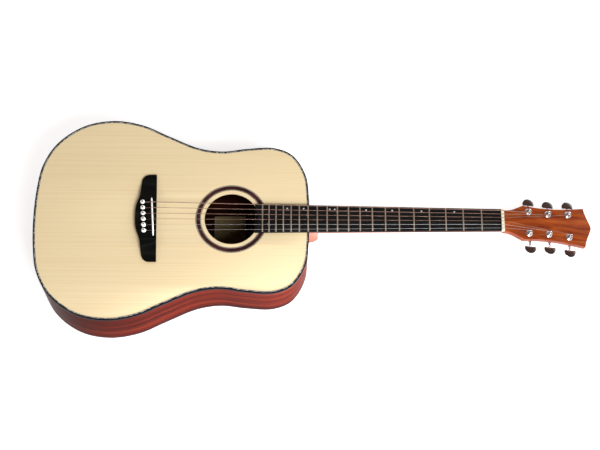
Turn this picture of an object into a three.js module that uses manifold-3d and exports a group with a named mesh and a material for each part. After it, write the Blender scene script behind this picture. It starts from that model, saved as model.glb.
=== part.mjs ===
// Steel-string acoustic guitar with a dreadnought body, lying on its back.
// Millimetres, +Z up, +X toward the headstock, +Y toward the bass strings.
// The pieces are drawn in the guitar's own frame: the nut is at x = 0, the soundboard's face is z = 0,
// and distances from the nut run toward the tail along -X. The last lines set the whole guitar on its back.
import * as THREE from "three";
import { mergeVertices } from "three/addons/utils/BufferGeometryUtils.js";
import Module from "manifold-3d";

const wasm = await Module();
wasm.setup();

// Scale and neck
const SCALE_LENGTH = 650;
const FRET_COUNT = 20;
const BODY_FRET = 14;
const NUT_WIDTH = 42.6;
const BODY_FRET_WIDTH = 53.2;
const BOARD_TOP = 6.3;
const BOARD_RADIUS = 406;
const BOARD_ARCH_STEPS = 4;
const FRET_HEIGHT = 1.0;
const FRET_WIDTH = 2.6;
const FRET_INSET = 0.25;
const NUT_LENGTH = 5.4;
const NUT_TOP = 8.9;
const NECK_DEPTH_AT_NUT = 15.2;
const NECK_DEPTH_AT_HEEL = 17.6;
const NECK_SECTION_STEPS = 12;
const THROAT_LENGTH = 30;
const THROAT_DROP = 3.6;
const THROAT_NARROWING = 0.3;
const HEEL_PLANE = 358.1;
const HEEL_REACH = 19;
const HEEL_FLARE = 43;
const HEEL_HALF_WIDTH = 10.5;
const HEEL_CAP_THICKNESS = 2.5;
const ROD_HALF_WIDTH = 2.7;
const ROD_RADIUS = 2.5;
const ROD_AXIS_Z = -9.8;
const ROD_START = 20;
const ROD_END = 411;
const ROD_FLOOR = 12.3;

// Body
const BODY_FRONT = 358.4;
const BODY_TAIL = 871.5;
const DEPTH_AT_NECK = 98;
const DEPTH_AT_TAIL = 128;
const HALF_OUTLINE = [
  [871.5, 0], [868.5, 60], [860, 106.5], [835, 151], [786, 187], [730, 198.5], [675.5, 190],
  [625, 167.5], [566.5, 142.8], [522, 136.8], [477, 142.4], [425, 144.7], [390, 130.2], [364.8, 89.5],
  [359, 45], [358.4, 0],
];
const OUTLINE_STEPS = 76;
const SOUNDBOARD_THICKNESS = 3;
const BACK_THICKNESS = 2.8;
const SIDE_THICKNESS = 2.5;
const LINING_REACH = 8;
const LINING_HEIGHT = 13;
const BINDING_WIDTH = 2;
const BINDING_HEIGHT = 6;
const PURFLING_WIDTH = 1.6;
const INLAY_DEPTH = 1.2;
const BACK_FLAT_HALF = 70;
const BACK_ARCH_RADIUS = 2000;
const BACK_ARCH_STEP = 20;
const BACK_ARCH_REACH = 210;
const HOLE_X = -503;
const HOLE_RADIUS = 50.2;
const BOARD_END_RADIUS = HOLE_RADIUS + 1.3;
const BOARD_END_X = HOLE_X + 42;
const ROSETTE_INNER = 57;
const ROSETTE_OUTER = 67.4;
const ROUND_STEPS = 48;
const GAP = 0.3;

// Braces and blocks
const X_BRACE_CROSSING = -590;
const X_BRACE_HALF_ANGLE = THREE.MathUtils.degToRad(49);
const X_BRACE_FRONT_REACH = 168;
const X_BRACE_REAR_REACH = 232;
const BRACE_WIDTH = 8;
const BRACE_HEIGHT = 14;
const BRACE_TIP_HEIGHT = 4;
const BRACE_TIP_LENGTH = 45;
const UPPER_BRACE_X = -428;
const UPPER_BRACE_HALF = 128;
const BACK_BRACES = { back_brace_upper: [-470, 127], back_brace_lower: [-690, 178] };
const NECK_BLOCK = { front: -363.2, rear: -405, half: 40 };
const TAIL_BLOCK = { front: -848, rear: -867.6, half: 38 };

// Bridge, saddle and pins
const BRIDGE_FRONT = -642.5;
const BRIDGE_TOP = 8.5;
// Half its outline: distance from the middle, then depth behind the front edge
const HALF_BRIDGE = [
  [0, 39.6], [18, 38.7], [28, 36.3], [38, 32.6], [50, 30], [65, 28.5], [76, 26.8],
  [83, 22.5], [86.3, 14], [86.3, 0],
];
const BRIDGE_SLANT = THREE.MathUtils.degToRad(1.4);
const WING_CREASE_HALF = 49;
const WING_CREASE_ANGLE = Math.atan2(8, 27);
const WING_PROFILE = [[0, 0], [3, 2.2], [8, 3.6], [16, 4.4], [27, 4.9], [45, 5.1]];
const SADDLE_SLANT = BRIDGE_SLANT + Math.atan2(3.5, 74);
const SADDLE_X = -649.6;
const SADDLE_LENGTH = 74;
const SADDLE_THICKNESS = 3;
const SADDLE_FOOT = 3.8;
const SADDLE_TOP = 11.3;
const PIN_ROW_X = -666.6;
const PIN_SHAFT_RADIUS = 2.5;
const PIN_HOLE_RADIUS = 2.8;
const PIN_TIP_Z = -10;
const PIN_HEAD_Z = 10.4;
const PIN_STEPS = 12;
const PIN_SLOT_REACH = 4.7;
const PIN_SLOT_HALF = 1.1;
// The pin's domed head: radius, then height over its seat
const PIN_HEAD = [[3.4, 0.1], [4.1, 1.2], [4.2, 2.2], [3.5, 3.6], [2, 4.5], [0, 4.8]];
const BRIDGE_PLATE = { front: -640, rear: -686, frontHalf: 50, rearHalf: 97, thickness: 2.6 };
const END_PIN_Z = -62;
const END_PIN_REACH = 8;
const END_PIN_RADIUS = 4;
const END_PIN_HEAD = [[0, 0], [4.6, 0], [6.3, 0.9], [6.8, 2.2], [6.2, 3.6], [4.6, 5], [4.4, 6.6]];
const END_PIN_FLANGE_RADIUS = 6.2;

// Strings, from the bass side to the treble side
const STRING_NAMES = ["low_e", "a", "d", "g", "b", "high_e"];
const STRING_RADII = [0.67, 0.53, 0.41, 0.3, 0.21, 0.16];
const NUT_SPREAD = 34.6;
const PIN_SPREAD = 56.4;
const STRING_ABOVE_NUT_FLOOR = 8;
const STRING_SIDES = 6;
const WRAP_TURNS = 1.5;
const WRAP_PITCH = 1.7;
const WRAP_TOP = 7.9;
const WRAP_STEPS_PER_TURN = 8;

// Headstock and tuners, in the head's frame: s along the head from the nut, n out of its face
const HEAD_TILT = THREE.MathUtils.degToRad(12.5);
const HEAD_ORIGIN_X = 5.7;
const HEAD_ORIGIN_Z = 1.5;
const HEAD_THICKNESS = 13;
const HEAD_FLARE = [[-2, 21.1], [8, 21.6], [18, 24], [30, 29.6], [39, 33.8]];
const HEAD_SIDE = [[39, 33.8], [60, 31.9], [82, 31.2], [106, 32], [134, 34.6], [161.5, 38.8]];
const HEAD_END = [[161.5, 38.8], [163.3, 31], [166.5, 22], [171, 11.5], [174.2, 4], [174.8, 0]];
const POST_PLACES = [[49.2, 21.4], [88.3, 20], [128.8, 22.6]];
const POST_RADIUS = 3.1;
const POST_TOP = 10.5;
const POST_WAIST_RADIUS = 2.7;
const STRING_HOLE_Z = 6.3;
const STRING_HOLE_RADIUS = 0.8;
const POST_STEPS = 12;
const HEAD_HOLE_RADIUS = 5;
const GEAR_TEETH = 14;
const GEAR_TIP_RADIUS = 5.4;
const GEAR_ROOT_RADIUS = 4.8;
const GEAR_MID = -5.2;
const GEAR_THICKNESS = 4;
const WORM_OFFSET = 7.9;
const WORM_RADIUS = 2.1;
const WORM_HALF_LENGTH = 6;
const SHAFT_RADIUS = 1.7;
const HOUSING = { front: 12.8, rear: -8.4, half: 8.6, depth: 10.9, corner: 3, collar: 11.4 };
const HOUSING_EAR = { back: 1.4, radius: 3.4, depth: 2.6 };
const COLLAR_RADIUS = 3.3;
const KNOB_START = 18.8;
const KNOB_OUTLINE = [[0, 1.0], [5.5, 0.2], [10, 0.6], [11.9, 3.8], [10.4, 8.8], [6.2, 13], [0, 14.6]];
const KNOB_THICKNESS = 5.4;
const KNOB_BEVEL = 1.3;

const SWEEP_LIMIT = 1200;
const WELD = 1e-4;

const TAPER = Math.atan2(DEPTH_AT_TAIL - DEPTH_AT_NECK, BODY_TAIL - BODY_FRONT);
const BACK_LEVEL = BODY_FRONT * Math.sin(TAPER) - DEPTH_AT_NECK * Math.cos(TAPER);
const LEVEL_TO_GUITAR = new THREE.Matrix4().makeRotationY(-TAPER);
const HEAD_TO_GUITAR = new THREE.Matrix4()
  .makeTranslation(HEAD_ORIGIN_X, 0, HEAD_ORIGIN_Z)
  .multiply(new THREE.Matrix4().makeRotationY(HEAD_TILT));
// The bridge is glued on slightly turned, about the middle of its front edge
const BRIDGE_TURN = new THREE.Matrix4()
  .makeTranslation(BRIDGE_FRONT, 0, 0)
  .multiply(new THREE.Matrix4().makeRotationZ(BRIDGE_SLANT))
  .multiply(new THREE.Matrix4().makeTranslation(-BRIDGE_FRONT, 0, 0));

const X_AXIS = new THREE.Vector3(1, 0, 0);
const Y_AXIS = new THREE.Vector3(0, 1, 0);
const Z_AXIS = new THREE.Vector3(0, 0, 1);
// A profile of (y, z) points swept along +X, and one of (x, z) points swept along -Y
const ALONG_X = new THREE.Matrix4().makeBasis(Y_AXIS, Z_AXIS, X_AXIS);
const ALONG_Y = new THREE.Matrix4().makeBasis(X_AXIS, Z_AXIS, Y_AXIS.clone().negate());

const paint = (color, roughness, metalness = 0) =>
  new THREE.MeshStandardMaterial({ color, roughness, metalness });
const spruce = paint(0xe9d8ab, 0.35);
const mahoganyBody = paint(0x8c3a2c, 0.3);
const mahoganyNeck = paint(0xa9501f, 0.4);
const headWood = paint(0xb24a1b, 0.3);
const darkWood = paint(0x26241f, 0.5);
const braceWood = paint(0xd8c08c, 0.7);
const blockWood = paint(0x9c6a43, 0.7);
const rosetteWood = paint(0x4c2723, 0.35);
const bindingBlack = paint(0x1a1d24, 0.3);
const pearl = paint(0xaab0b2, 0.3);
const bone = paint(0xf0ead8, 0.35);
const pinWhite = paint(0xf4f1e8, 0.3);
const chrome = paint(0xc9ccd1, 0.15, 1);
const steel = paint(0x9aa0a6, 0.3, 1);
const bronze = paint(0xa5714f, 0.35, 1);

const vec2 = ([x, y]) => new THREE.Vector2(x, y);

// One closed body from a closed three.js geometry
function toSolid(geometry) {
  const bare = geometry.clone();
  bare.deleteAttribute("normal");
  bare.deleteAttribute("uv");
  const merged = mergeVertices(bare, WELD);
  const kept = [];
  for (let i = 0; i < merged.index.count; i += 3) {
    const corners = [0, 1, 2].map((k) => merged.index.getX(i + k));
    if (new Set(corners).size === 3) kept.push(...corners);
  }
  const vertProperties = merged.attributes.position.array;
  return new wasm.Manifold(new wasm.Mesh({ numProp: 3, vertProperties, triVerts: new Uint32Array(kept) }));
}

function toGeometry(solid) {
  const { vertProperties, triVerts } = solid.getMesh();
  const geometry = new THREE.BufferGeometry();
  geometry.setAttribute("position", new THREE.BufferAttribute(vertProperties, 3));
  geometry.setIndex(new THREE.BufferAttribute(triVerts, 1));
  geometry.computeVertexNormals();
  return geometry;
}

const join = (solids) => solids.reduce((whole, piece) => whole.add(piece));
const cut = (solid, cutters) => cutters.reduce((whole, cutter) => whole.subtract(cutter), solid);

const counterClockwise = (points) => (THREE.ShapeUtils.isClockWise(points) ? [...points].reverse() : points);

function extrude(points, depth, options = {}) {
  const shape = new THREE.Shape(counterClockwise(points));
  shape.holes = (options.holes ?? []).map((hole) => new THREE.Path(hole));
  return new THREE.ExtrudeGeometry(shape, { depth, bevelEnabled: false, steps: options.steps ?? 1 });
}

const prism = (points, z0, z1, holes) => toSolid(extrude(points, z1 - z0, { holes }).translate(0, 0, z0));

function box([x0, x1], [y0, y1], [z0, z1]) {
  const geometry = new THREE.BoxGeometry(x1 - x0, y1 - y0, z1 - z0);
  return toSolid(geometry.translate((x0 + x1) / 2, (y0 + y1) / 2, (z0 + z1) / 2));
}

// A round bar on the Z axis between two heights
function barGeometry(radius, z0, z1, steps) {
  const geometry = new THREE.CylinderGeometry(radius, radius, z1 - z0, steps);
  return geometry.rotateX(Math.PI / 2).translate(0, 0, (z0 + z1) / 2);
}

const bar = (x, y, radius, z0, z1, steps) => toSolid(barGeometry(radius, z0, z1, steps).translate(x, y, 0));

// A turned piece on the Z axis, from (radius, height) points that run upward
function turned(profile, steps) {
  const geometry = new THREE.LatheGeometry(profile.map(vec2), steps);
  return geometry.rotateX(Math.PI / 2);
}

// Moves each vertex of a geometry by a rule
function reshape(geometry, rule) {
  const place = new THREE.Vector3();
  const position = geometry.attributes.position;
  for (let i = 0; i < position.count; i += 1) {
    place.fromBufferAttribute(position, i);
    rule(place);
    position.setXYZ(i, place.x, place.y, place.z);
  }
  return geometry;
}

const root = new THREE.Group();
const head = new THREE.Group();
head.applyMatrix4(HEAD_TO_GUITAR);
root.add(head);

function addPiece(name, solid, material, parent = root) {
  const mesh = new THREE.Mesh(toGeometry(solid), material);
  mesh.name = name;
  parent.add(mesh);
  return mesh;
}

const fretDistance = (fret) => SCALE_LENGTH * (1 - 2 ** (-fret / 12));
const boardHalfWidth = (distance) =>
  (NUT_WIDTH + ((BODY_FRET_WIDTH - NUT_WIDTH) * distance) / fretDistance(BODY_FRET)) / 2;

// Body outline, clockwise from the tail seen from above
const bassHalf = HALF_OUTLINE.map(([distance, half]) => new THREE.Vector3(-distance, half, 0));
const mirrored = HALF_OUTLINE.slice(1, -1).reverse();
const trebleHalf = mirrored.map(([distance, half]) => new THREE.Vector3(-distance, -half, 0));
const bodyCurve = new THREE.CatmullRomCurve3([...bassHalf, ...trebleHalf], true, "centripetal");

function outlineAt(inset) {
  return Array.from({ length: OUTLINE_STEPS }, (_, i) => {
    const place = bodyCurve.getPointAt(i / OUTLINE_STEPS);
    const tangent = bodyCurve.getTangentAt(i / OUTLINE_STEPS);
    return new THREE.Vector2(place.x + inset * tangent.y, place.y - inset * tangent.x);
  });
}

const ring = (outerInset, innerInset, z0, z1) =>
  prism(outlineAt(outerInset), z0, z1, [outlineAt(innerInset)]);

// The back's outer face is flat along its middle and rises in an arc toward each edge
function backRise(y) {
  const past = Math.max(0, Math.abs(y) - BACK_FLAT_HALF);
  return past ** 2 / (2 * BACK_ARCH_RADIUS);
}

// The space between two heights over the back's outer face
function backBand(low, high) {
  const stations = [];
  for (let y = -BACK_ARCH_REACH; y <= BACK_ARCH_REACH; y += BACK_ARCH_STEP) stations.push(y);
  const lower = stations.map((y) => new THREE.Vector2(y, backRise(y) + low));
  const upper = stations.map((y) => new THREE.Vector2(y, backRise(y) + high)).reverse();
  const geometry = extrude([...lower, ...upper], SWEEP_LIMIT).applyMatrix4(ALONG_X);
  return toSolid(geometry.translate(-SWEEP_LIMIT, 0, BACK_LEVEL).applyMatrix4(LEVEL_TO_GUITAR));
}

const circle = (x, y, radius, steps) =>
  new THREE.Path().absarc(x, y, radius, 0, 2 * Math.PI, false).getPoints(steps / 2).slice(0, -1);

// The string for slot 0 to 5 runs straight in plan from its bridge pin to the nut
const stringSide = (index) => 1 - (2 * index) / (STRING_NAMES.length - 1);
const pinPlace = (index) => {
  const y = (stringSide(index) * PIN_SPREAD) / 2;
  return [PIN_ROW_X - y * Math.tan(SADDLE_SLANT), y];
};

// Through passages for the six bridge pins, each with its string's slot toward the saddle
const pinPassages = STRING_NAMES.map((_, index) => {
  const [x, y] = pinPlace(index);
  const bore = bar(x, y, PIN_HOLE_RADIUS, PIN_TIP_Z, PIN_HEAD_Z, PIN_STEPS);
  const slotSides = [y - PIN_SLOT_HALF, y + PIN_SLOT_HALF];
  return bore.add(box([x, x + PIN_SLOT_REACH], slotSides, [PIN_TIP_Z, PIN_HEAD_Z]));
});

function makeSoundboard() {
  const edge = BINDING_WIDTH + GAP;
  const hole = circle(HOLE_X, 0, HOLE_RADIUS, ROUND_STEPS);
  const plate = prism(outlineAt(edge), -SOUNDBOARD_THICKNESS, 0, [hole]);
  const inlayFloor = -INLAY_DEPTH - GAP;
  const purflingLedge = ring(edge - GAP, edge + PURFLING_WIDTH + GAP, inlayFloor, GAP);
  const rosetteGroove = prism(circle(HOLE_X, 0, ROSETTE_OUTER + GAP, ROUND_STEPS), inlayFloor, GAP, [
    circle(HOLE_X, 0, ROSETTE_INNER - GAP, ROUND_STEPS),
  ]);
  addPiece("soundboard", cut(plate, [purflingLedge, rosetteGroove, ...pinPassages]), spruce);
}

function makeInlays() {
  const edge = BINDING_WIDTH + GAP;
  addPiece("top_purfling", ring(edge, edge + PURFLING_WIDTH, -INLAY_DEPTH, 0), pearl);
  const rosette = prism(circle(HOLE_X, 0, ROSETTE_OUTER, ROUND_STEPS), -INLAY_DEPTH, 0, [
    circle(HOLE_X, 0, ROSETTE_INNER, ROUND_STEPS),
  ]);
  addPiece("rosette", rosette, rosetteWood);
}

function makeBindings() {
  addPiece("top_binding", ring(0, BINDING_WIDTH, -BINDING_HEIGHT, 0), bindingBlack);
  const deep = ring(0, BINDING_WIDTH, -2 * DEPTH_AT_TAIL, 0);
  addPiece("back_binding", deep.intersect(backBand(0, BINDING_HEIGHT)), bindingBlack);
}

const endPinBore = () =>
  toSolid(
    barGeometry(END_PIN_RADIUS + GAP, 0, TAIL_BLOCK.front + BODY_TAIL, PIN_STEPS)
      .applyMatrix4(ALONG_X)
      .translate(-BODY_TAIL, 0, END_PIN_Z),
  );

const rodBore = () => {
  const geometry = barGeometry(ROD_RADIUS + GAP, 0, ROD_END - HEEL_PLANE + ROD_RADIUS, PIN_STEPS);
  return toSolid(geometry.applyMatrix4(ALONG_X).translate(-ROD_END, 0, ROD_AXIS_Z));
};

const aroundBlock = ({ front, rear, half }) => {
  const span = [Math.min(front, rear) - LINING_REACH, Math.max(front, rear) + LINING_REACH];
  return box(span, [-half - GAP, half + GAP], [-2 * DEPTH_AT_TAIL, 0]);
};

// Each side is bent wood with the two lining strips glued inside it, under the soundboard and over the back
function makeSides() {
  const wall = ring(0, SIDE_THICKNESS, -2 * DEPTH_AT_TAIL, -BINDING_HEIGHT - GAP);
  const tallWall = wall.intersect(backBand(BINDING_HEIGHT + GAP, 2 * DEPTH_AT_TAIL));
  const liningTop = -SOUNDBOARD_THICKNESS - GAP;
  const ledge = BINDING_WIDTH + GAP;
  const topLining = ring(ledge, LINING_REACH, liningTop - LINING_HEIGHT, liningTop);
  const deepLining = ring(ledge, LINING_REACH, -2 * DEPTH_AT_TAIL, -BINDING_HEIGHT);
  const overBack = BACK_THICKNESS + GAP;
  const backLining = deepLining.intersect(backBand(overBack, overBack + LINING_HEIGHT));
  const blocks = [aroundBlock(NECK_BLOCK), aroundBlock(TAIL_BLOCK)];
  const linings = cut(topLining.add(backLining), blocks);
  const whole = cut(tallWall.add(linings), [endPinBore(), rodBore()]);
  const reach = [-SWEEP_LIMIT, 0];
  const bassSpace = box(reach, [GAP / 2, BACK_ARCH_REACH], [-2 * DEPTH_AT_TAIL, 0]);
  const trebleSpace = box(reach, [-BACK_ARCH_REACH, -GAP / 2], [-2 * DEPTH_AT_TAIL, 0]);
  addPiece("bass_side", whole.intersect(bassSpace), mahoganyBody);
  addPiece("treble_side", whole.intersect(trebleSpace), mahoganyBody);
}

function makeBack() {
  const plate = prism(outlineAt(BINDING_WIDTH + GAP), -2 * DEPTH_AT_TAIL, 0);
  addPiece("back_panel", plate.intersect(backBand(0, BACK_THICKNESS)), mahoganyBody);
}

function makeBlocks() {
  const room = backBand(BACK_THICKNESS + GAP, 2 * DEPTH_AT_TAIL);
  const top = -SOUNDBOARD_THICKNESS - GAP;
  const span = ({ front, rear, half }) => box([rear, front], [-half, half], [-2 * DEPTH_AT_TAIL, top]);
  addPiece("neck_block", cut(span(NECK_BLOCK).intersect(room), [rodBore()]), blockWood);
  addPiece("tail_block", cut(span(TAIL_BLOCK).intersect(room), [endPinBore()]), blockWood);
}

// A brace seen from the side: full height in the middle, thinned in a curve to a low tip at each end
function braceProfile(rear, front, height) {
  const steps = 4;
  const rise = (t) => BRACE_TIP_HEIGHT + (height - BRACE_TIP_HEIGHT) * Math.sin((t * Math.PI) / 2);
  const fractions = Array.from({ length: steps + 1 }, (_, i) => i / steps);
  const taper = fractions.map((t) => [BRACE_TIP_LENGTH * t, rise(t)]);
  const rearHalf = taper.map(([along, drop]) => new THREE.Vector2(rear + along, -drop));
  const frontHalf = taper.map(([along, drop]) => new THREE.Vector2(front - along, -drop)).reverse();
  return [new THREE.Vector2(rear, 0), ...rearHalf, ...frontHalf, new THREE.Vector2(front, 0)];
}

function braceGeometry(rear, front, height) {
  const geometry = extrude(braceProfile(rear, front, height), BRACE_WIDTH).applyMatrix4(ALONG_Y);
  return geometry.translate(0, BRACE_WIDTH / 2, 0);
}

// The two long braces cross behind the sound hole, each halved where it meets the other
function makeXBraces() {
  const top = -SOUNDBOARD_THICKNESS - GAP;
  const middle = top - BRACE_HEIGHT / 2;
  const half = BRACE_WIDTH / 2 + GAP;
  const angles = { x_brace_bass: -X_BRACE_HALF_ANGLE, x_brace_treble: X_BRACE_HALF_ANGLE };
  for (const [name, angle] of Object.entries(angles)) {
    const turn = (geometry) => toSolid(geometry.rotateZ(angle).translate(X_BRACE_CROSSING, 0, top));
    const whole = turn(braceGeometry(-X_BRACE_REAR_REACH, X_BRACE_FRONT_REACH, BRACE_HEIGHT));
    const other = new THREE.BoxGeometry(2 * BRACE_TIP_LENGTH, 2 * half, BRACE_HEIGHT);
    const lift = ((GAP - BRACE_HEIGHT) / 2) * (name === "x_brace_bass" ? 1 : -1);
    const notch = toSolid(other.rotateZ(-angle).translate(X_BRACE_CROSSING, 0, middle + lift));
    addPiece(name, whole.subtract(notch), braceWood);
  }
}

function makeLadderBraces() {
  const top = -SOUNDBOARD_THICKNESS - GAP;
  const across = (half) => braceGeometry(-half, half, BRACE_HEIGHT).rotateZ(Math.PI / 2);
  const upper = toSolid(across(UPPER_BRACE_HALF).translate(UPPER_BRACE_X, 0, top));
  addPiece("upper_brace", upper, braceWood);
  const floor = BACK_THICKNESS + GAP;
  for (const [name, [x, half]] of Object.entries(BACK_BRACES)) {
    const bent = reshape(across(half).rotateX(Math.PI).translate(x, 0, 0), (place) => {
      place.z += BACK_LEVEL + floor + backRise(place.y);
    });
    addPiece(name, toSolid(bent.applyMatrix4(LEVEL_TO_GUITAR)), braceWood);
  }
}

function makeBridgePlate() {
  const { front, rear, frontHalf, rearHalf, thickness } = BRIDGE_PLATE;
  const outline = [[front, -frontHalf], [front, frontHalf], [rear, rearHalf], [rear, -rearHalf]].map(vec2);
  const top = -SOUNDBOARD_THICKNESS - GAP;
  addPiece("bridge_plate", cut(prism(outline, top - thickness, top), pinPassages), blockWood);
}

function slantedBar(halfThickness, length, profileTop, foot) {
  const geometry = extrude(profileTop(halfThickness), length).applyMatrix4(ALONG_Y);
  return toSolid(geometry.translate(0, length / 2, foot).rotateZ(SADDLE_SLANT).translate(SADDLE_X, 0, 0));
}

function makeBridge() {
  const rearEdge = HALF_BRIDGE.map(([half, deep]) => new THREE.Vector3(BRIDGE_FRONT - deep, half, 0));
  const halfCurve = new THREE.CatmullRomCurve3(rearEdge, false, "centripetal").getSpacedPoints(20);
  const bassEdge = halfCurve.map(({ x, y }) => new THREE.Vector2(x, y));
  const trebleEdge = halfCurve.slice(1).map(({ x, y }) => new THREE.Vector2(x, -y)).reverse();
  const blank = extrude([...trebleEdge, ...bassEdge], BRIDGE_TOP - GAP).translate(0, 0, GAP);
  const wings = [-1, 1].map((side) => {
    const slope = WING_PROFILE.map(([out, drop]) => new THREE.Vector2(side * out, -drop));
    const above = [new THREE.Vector2(side * WING_CREASE_HALF, 1), new THREE.Vector2(0, 1)];
    const geometry = extrude([...slope, ...above], 2 * SADDLE_LENGTH).applyMatrix4(ALONG_X);
    geometry.translate(-SADDLE_LENGTH, 0, 0).rotateZ(-side * WING_CREASE_ANGLE);
    geometry.translate(BRIDGE_FRONT, side * WING_CREASE_HALF, BRIDGE_TOP);
    return toSolid(geometry.applyMatrix4(BRIDGE_TURN));
  });
  const slotHeight = BRIDGE_TOP - SADDLE_FOOT + 2 * GAP;
  const slotSection = (half) =>
    [[-half, 0], [half, 0], [half, slotHeight], [-half, slotHeight]].map(vec2);
  const slotLength = SADDLE_LENGTH + 2 * GAP;
  const slot = slantedBar(SADDLE_THICKNESS / 2 + GAP, slotLength, slotSection, SADDLE_FOOT - GAP);
  const turnedBlank = toSolid(blank.applyMatrix4(BRIDGE_TURN));
  addPiece("bridge", cut(turnedBlank, [...wings, slot, ...pinPassages]), darkWood);
}

function makeSaddle() {
  const height = SADDLE_TOP - SADDLE_FOOT;
  const section = (half) => {
    const crown = new THREE.Path().absarc(0, height - half, half, 0, Math.PI, false).getPoints(3);
    return [new THREE.Vector2(-half, 0), new THREE.Vector2(half, 0), ...crown];
  };
  addPiece("saddle", slantedBar(SADDLE_THICKNESS / 2, SADDLE_LENGTH, section, SADDLE_FOOT), bone);
}

function makeBridgePins() {
  const shaftTip = PIN_SHAFT_RADIUS * 0.8;
  const shaft = [[0, PIN_TIP_Z], [shaftTip, PIN_TIP_Z + 1], [PIN_SHAFT_RADIUS, PIN_HEAD_Z]];
  const profile = [...shaft, ...PIN_HEAD.map(([radius, height]) => [radius, PIN_HEAD_Z + height])];
  STRING_NAMES.forEach((string, index) => {
    const [x, y] = pinPlace(index);
    const mesh = addPiece(`bridge_pin_${string}`, toSolid(turned(profile, PIN_STEPS)), pinWhite);
    mesh.position.set(x, y, 0);
  });
}

function makeEndPin() {
  const seat = END_PIN_REACH - GAP;
  const tip = END_PIN_REACH + TAIL_BLOCK.front + BODY_TAIL - 2;
  const profile = [
    ...END_PIN_HEAD, [END_PIN_FLANGE_RADIUS, seat - 0.4], [END_PIN_FLANGE_RADIUS, seat],
    [END_PIN_RADIUS, seat], [END_PIN_RADIUS - GAP, tip], [0, tip],
  ];
  const geometry = turned(profile, PIN_STEPS).applyMatrix4(ALONG_X);
  geometry.translate(-BODY_TAIL - END_PIN_REACH, 0, END_PIN_Z);
  addPiece("end_pin", toSolid(geometry), pinWhite);
}

// The fretboard's arched section, widened toward the body, with the twenty frets seated in it
function makeFretboard() {
  const far = -HOLE_X;
  const across = Array.from({ length: BOARD_ARCH_STEPS + 1 }, (_, i) => 1 - (2 * i) / BOARD_ARCH_STEPS);
  const top = across.map((side) => new THREE.Vector2(side, 1));
  const section = [new THREE.Vector2(-1, 0), new THREE.Vector2(1, 0), ...top];
  const blank = reshape(extrude(section, far).applyMatrix4(ALONG_X).translate(-far, 0, 0), (place) => {
    place.y *= boardHalfWidth(-place.x);
    const arch = BOARD_TOP - place.y ** 2 / (2 * BOARD_RADIUS);
    place.z = place.z > 0 ? arch : GAP;
  });
  const holeEdge = bar(HOLE_X, 0, BOARD_END_RADIUS, -1, BOARD_TOP + 1, ROUND_STEPS);
  const behindHole = box([-SCALE_LENGTH, BOARD_END_X], [-NUT_WIDTH, NUT_WIDTH], [-1, BOARD_TOP + 1]);
  const frets = Array.from({ length: FRET_COUNT }, (_, i) => makeFret(fretDistance(i + 1)));
  addPiece("fretboard", join([cut(toSolid(blank), [holeEdge, behindHole]), ...frets]), darkWood);
}

function makeFret(distance) {
  const half = FRET_WIDTH / 2;
  const crown = new THREE.Path().absellipse(0, 0, half, FRET_HEIGHT, 0, Math.PI, false).getPoints(2);
  const section = [new THREE.Vector2(-half, -FRET_HEIGHT), new THREE.Vector2(half, -FRET_HEIGHT), ...crown];
  const length = 2 * (boardHalfWidth(distance) - FRET_INSET);
  const straight = extrude(section, length, { steps: BOARD_ARCH_STEPS }).applyMatrix4(ALONG_Y);
  const bent = reshape(straight.translate(-distance, length / 2, 0), (place) => {
    place.z += BOARD_TOP - place.y ** 2 / (2 * BOARD_RADIUS);
  });
  return toSolid(bent);
}

function makeNut() {
  const half = NUT_WIDTH / 2;
  const blank = box([GAP, NUT_LENGTH], [-half, half], [GAP, NUT_TOP]);
  const slots = STRING_NAMES.map((_, index) => {
    const y = (stringSide(index) * NUT_SPREAD) / 2;
    const room = STRING_RADII[index] + GAP;
    return box([-1, NUT_LENGTH + 1], [y - room, y + room], [STRING_ABOVE_NUT_FLOOR - GAP, NUT_TOP + 1]);
  });
  addPiece("nut", cut(blank, slots), bone);
}

// Half of an ellipse, flat side up, as the section of the neck behind the board
function neckSection() {
  return Array.from({ length: NECK_SECTION_STEPS + 1 }, (_, i) => {
    const angle = (i * Math.PI) / NECK_SECTION_STEPS;
    return new THREE.Vector2(-Math.cos(angle), -(Math.sin(angle) ** 0.85));
  });
}

function neckShaft() {
  const shaft = extrude(neckSection(), NUT_LENGTH + HEEL_PLANE, { steps: 6 }).applyMatrix4(ALONG_X);
  return toSolid(
    reshape(shaft.translate(-HEEL_PLANE, 0, 0), (place) => {
      const along = Math.max(0, -place.x) / HEEL_PLANE;
      place.y *= boardHalfWidth(Math.max(0, -place.x));
      place.z *= NECK_DEPTH_AT_NUT + (NECK_DEPTH_AT_HEEL - NECK_DEPTH_AT_NUT) * along;
    }),
  );
}

// The shaft's round back runs on past the nut and sinks into the back of the head
function neckThroat() {
  const throat = extrude(neckSection(), THROAT_LENGTH, { steps: 4 }).applyMatrix4(ALONG_X);
  return toSolid(
    reshape(throat, (place) => {
      const along = place.x / THROAT_LENGTH;
      place.x += NUT_LENGTH - 1;
      const fall = (place.x - HEAD_ORIGIN_X) * Math.tan(HEAD_TILT);
      const top = Math.min(0, -fall) - 2;
      const bottom = -NECK_DEPTH_AT_NUT - THROAT_DROP * along;
      place.y *= (NUT_WIDTH / 2) * (1 - THROAT_NARROWING * along ** 2);
      place.z = top + (top - bottom) * place.z;
    }),
  );
}

function neckHeel() {
  const reach = DEPTH_AT_NECK - 1;
  const heel = extrude(heelSection(), reach, { steps: 9 }).translate(0, 0, -DEPTH_AT_NECK);
  const spread = toSolid(reshape(heel, (place) => spreadHeel(place, (-1 - place.z) / reach)));
  return spread.intersect(backBand(HEEL_CAP_THICKNESS + GAP, 2 * DEPTH_AT_TAIL));
}

function heelSection() {
  return Array.from({ length: NECK_SECTION_STEPS + 1 }, (_, i) => {
    const angle = (i * Math.PI) / NECK_SECTION_STEPS;
    return new THREE.Vector2(Math.sin(angle), -Math.cos(angle));
  });
}

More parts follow.
